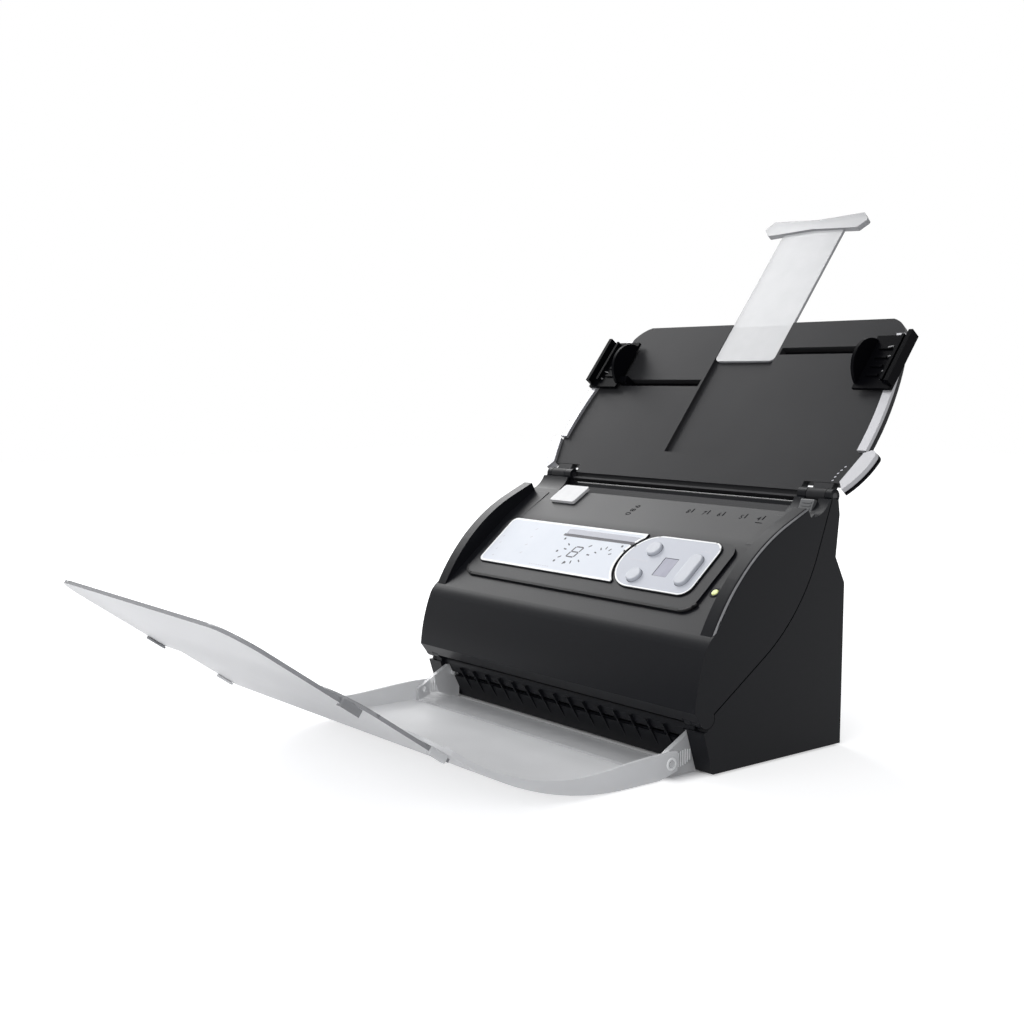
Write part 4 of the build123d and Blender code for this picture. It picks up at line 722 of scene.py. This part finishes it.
ticks = []
tick_places = ((128.6, 20.4), (127.0, 17.8), (125.6, 15.4), (124.8, 12.8), (124.2, 10.2))
for x, y in tick_places:
    height = face_height("paper_chute", x, y)
    if height is not None:
        ticks.append(ridge_at(x, y, height + 0.02, 1.5, 0.7, 0.1, 25.0))
if ticks:
    print_on(ticks, "chute_ticks", chute_place, pale_ink, "chute")
# Lighter grey than the black guides: a painted highlight on the ridges' tops.
ridge_painted_highlight, shader, place = new_material("ridge_painted_highlight", (0.16, 0.16, 0.165), 0.35)
grain = noise(place, 1500.0)
roughen(shader, grain, low=0.3, span=0.1)
ridge_places = ((123.4, 106.5), (124.8, 100.0), (126.2, 88.8), (127.8, 82.8))
for side, node, body in (
    (1, "right_paper_guide", "right_guide"),
    (-1, "left_paper_guide", "left_guide"),
):
    ridges = []
    for x, y in ridge_places:
        height = face_height(node, side * x, y)
        if height is not None:
            ridges.append(ridge_at(side * x, y, height + 0.1, 4.2, 1.0, 0.6, side * 12.0))
    if ridges:
        print_on(ridges, node + "_ridges", chute_place, ridge_painted_highlight, body)
bpy.data.objects.remove(ridge)

# Trays and extension blade: translucent moulded plastic with a light frosting,
# a little cloudier where it is thick. The tray swings on two pins in its clear
# mount, and the leaves and the blade slide out.
frost, shader, place = new_material("tray_frost", (0.76, 0.765, 0.78), 0.32, Alpha=0.74)
cloud = noise(place, 30.0)
roughen(shader, cloud, low=0.31, span=0.12)
tint(shader, cloud, (0.73, 0.735, 0.75), (0.80, 0.805, 0.82))
dress(frost, "output_tray")
leaf, shader, place = new_material("leaf_frost", (0.78, 0.785, 0.80), 0.3, Alpha=0.84)
cloud = noise(place, 30.0)
roughen(shader, cloud, low=0.31, span=0.12)
tint(shader, cloud, (0.75, 0.755, 0.77), (0.83, 0.835, 0.85))
dress(leaf, "middle_leaf", "outer_leaf")
clear, shader, place = new_material("clear_plastic", (0.78, 0.785, 0.80), 0.16, Alpha=0.55)
cloud = noise(place, 60.0)
roughen(shader, cloud, low=0.1, span=0.12)
tint(shader, cloud, (0.72, 0.725, 0.74), (0.83, 0.835, 0.85))
dress(clear, "tray_mount")
blade, shader, place = new_material("blade_grey", (0.64, 0.645, 0.66), 0.2, Alpha=0.72)
cloud = noise(place, 60.0)
roughen(shader, cloud, low=0.14, span=0.12)
tint(shader, cloud, (0.59, 0.595, 0.61), (0.70, 0.705, 0.72))
dress(blade, "chute_extension")
dress(white_rim_and_highlight, "tray_mount_pins")

# Pivot bosses: a pale ring round the end of each tray pivot, moulded on the
# outer face of the tray's side wall.
pivot_depth, pivot_height = -0.0604 - depth_middle, 0.0086
wall_outside = 0.1206
for side in (1, -1):
    bpy.ops.object.select_all(action="DESELECT")
    bpy.ops.mesh.primitive_torus_add(
        major_radius=0.0030, minor_radius=0.0008, major_segments=36, minor_segments=10
    )
    boss = bpy.context.object
    boss.name = "pivot_boss_right" if side > 0 else "pivot_boss_left"
    bpy.ops.object.mode_set(mode="EDIT")
    bpy.ops.mesh.select_all(action="SELECT")
    bpy.ops.transform.resize(value=(1.0, 1.0, 0.6))
    bpy.ops.object.mode_set(mode="OBJECT")
    outside = Vector((side * 0.15, pivot_depth, pivot_height))
    beside_the_bore = outside + Vector((0, 0.0045, 0))
    hit, point, _, _ = nodes["output_tray"].ray_cast(beside_the_bore, Vector((-side, 0, 0)))
    across = point.x if hit else side * wall_outside
    on_its_side = Matrix.Rotation(math.radians(90.0), 4, "Y")
    boss.data.transform(Matrix.Translation((across, outside.y, outside.z)) @ on_its_side)
    bpy.ops.object.shade_smooth()
    fasten(boss, white_rim_and_highlight, "tray")

# Finger grips of the tray mount: the ribs moulded on its two sides. A thin white skin on
# their tops is a painted highlight against the clear plastic.
rib_inner, rib_outer = 0.11825, 0.1186


def on_a_rib_top(point, normal):
    """Whether a face of the mount is the outer face of a rib."""
    return abs(normal.x) > 0.9 and rib_inner < abs(point.x) < rib_outer


rib_highlight_skin = skin_of("tray_mount", "grip_rib_highlights", on_a_rib_top)
thicken(rib_highlight_skin, 0.00012)
fasten(rib_highlight_skin, white_rim_and_highlight, "base")

# Outer edges of the wings: a thin black skin over the lower part of each outer side,
# painted shade where the silver face turns away from the light.


def outward(point, normal):
    """How far a face on either side of the scanner looks away from its middle."""
    return normal.x * (1 if point.x > 0 else -1)


shade_share = 0.42
wing_edge_shade = skin_of(
    "chute_wings", "wing_painted_shade", lambda point, normal: outward(point, normal) > 0.35
)
heights = [(chute_flat @ corner.co).z for corner in wing_edge_shade.data.vertices]
shade_top = min(heights) + shade_share * (max(heights) - min(heights))
bpy.ops.object.mode_set(mode="EDIT")
bpy.ops.mesh.select_all(action="SELECT")
bpy.ops.mesh.bisect(
    plane_co=chute_place @ Vector((0, 0, shade_top)), plane_no=chute_up, clear_outer=True
)
bpy.ops.object.mode_set(mode="OBJECT")
thicken(wing_edge_shade, 0.00025)
# The guides' black serves here as the painted shade.
fasten(wing_edge_shade, guide, "chute")

# Crest edges of the cover's fins: the moulded radius, with a thin paler skin along
# each side that is a painted highlight.
crest_highlight, shader, place = new_material("crest_painted_highlight", (0.20, 0.20, 0.21), 0.25)
grain = noise(place, 800.0)
roughen(shader, grain, low=0.2, span=0.1)
tint(shader, grain, (0.17, 0.17, 0.18), (0.25, 0.25, 0.26))


def on_the_crest(point, normal):
    """Whether a face of the cover is on the rounded outer edge of a fin."""
    return 0.5 < outward(point, normal) < 0.93 and abs(point.x) > 0.1300 and point.z > 0.035


crest_highlight_line = skin_of("front_cover", "fin_crest_highlights", on_the_crest)
thicken(crest_highlight_line, 0.00005)
fasten(crest_highlight_line, crest_highlight, "cover")

# Polished edges of the leaves and of the extension blade, the cut edge of clear plastic:
# a darker grey skin there is painted shade, for the way such an edge reads darker than its face.
edge_painted_shade, shader, place = new_material("edge_painted_shade", (0.34, 0.345, 0.36), 0.2, Alpha=0.7)
cloud = noise(place, 200.0)
roughen(shader, cloud, low=0.15, span=0.1)
for node, body, slot in (
    ("outer_leaf", "leaf_2", "frosted_tray"),
    ("middle_leaf", "leaf_1", "frosted_tray"),
    ("chute_extension", "extension", "clear_plastic"),
):
    face_up = Vector((0, 0, 0))
    for face in nodes[node].data.polygons:
        if face.normal.z > 0:
            face_up += face.normal * face.area
    face_up.normalize()
    all_round = node == "chute_extension"
    edge = skin_of(
        node, node + "_edge",
        lambda point, normal: abs(normal.dot(face_up)) < 0.3
        and (all_round or abs(normal.x) > 0.75 or normal.y < -0.3),
    )
    thicken(edge, 0.00018)
    fasten(edge, edge_painted_shade, body)
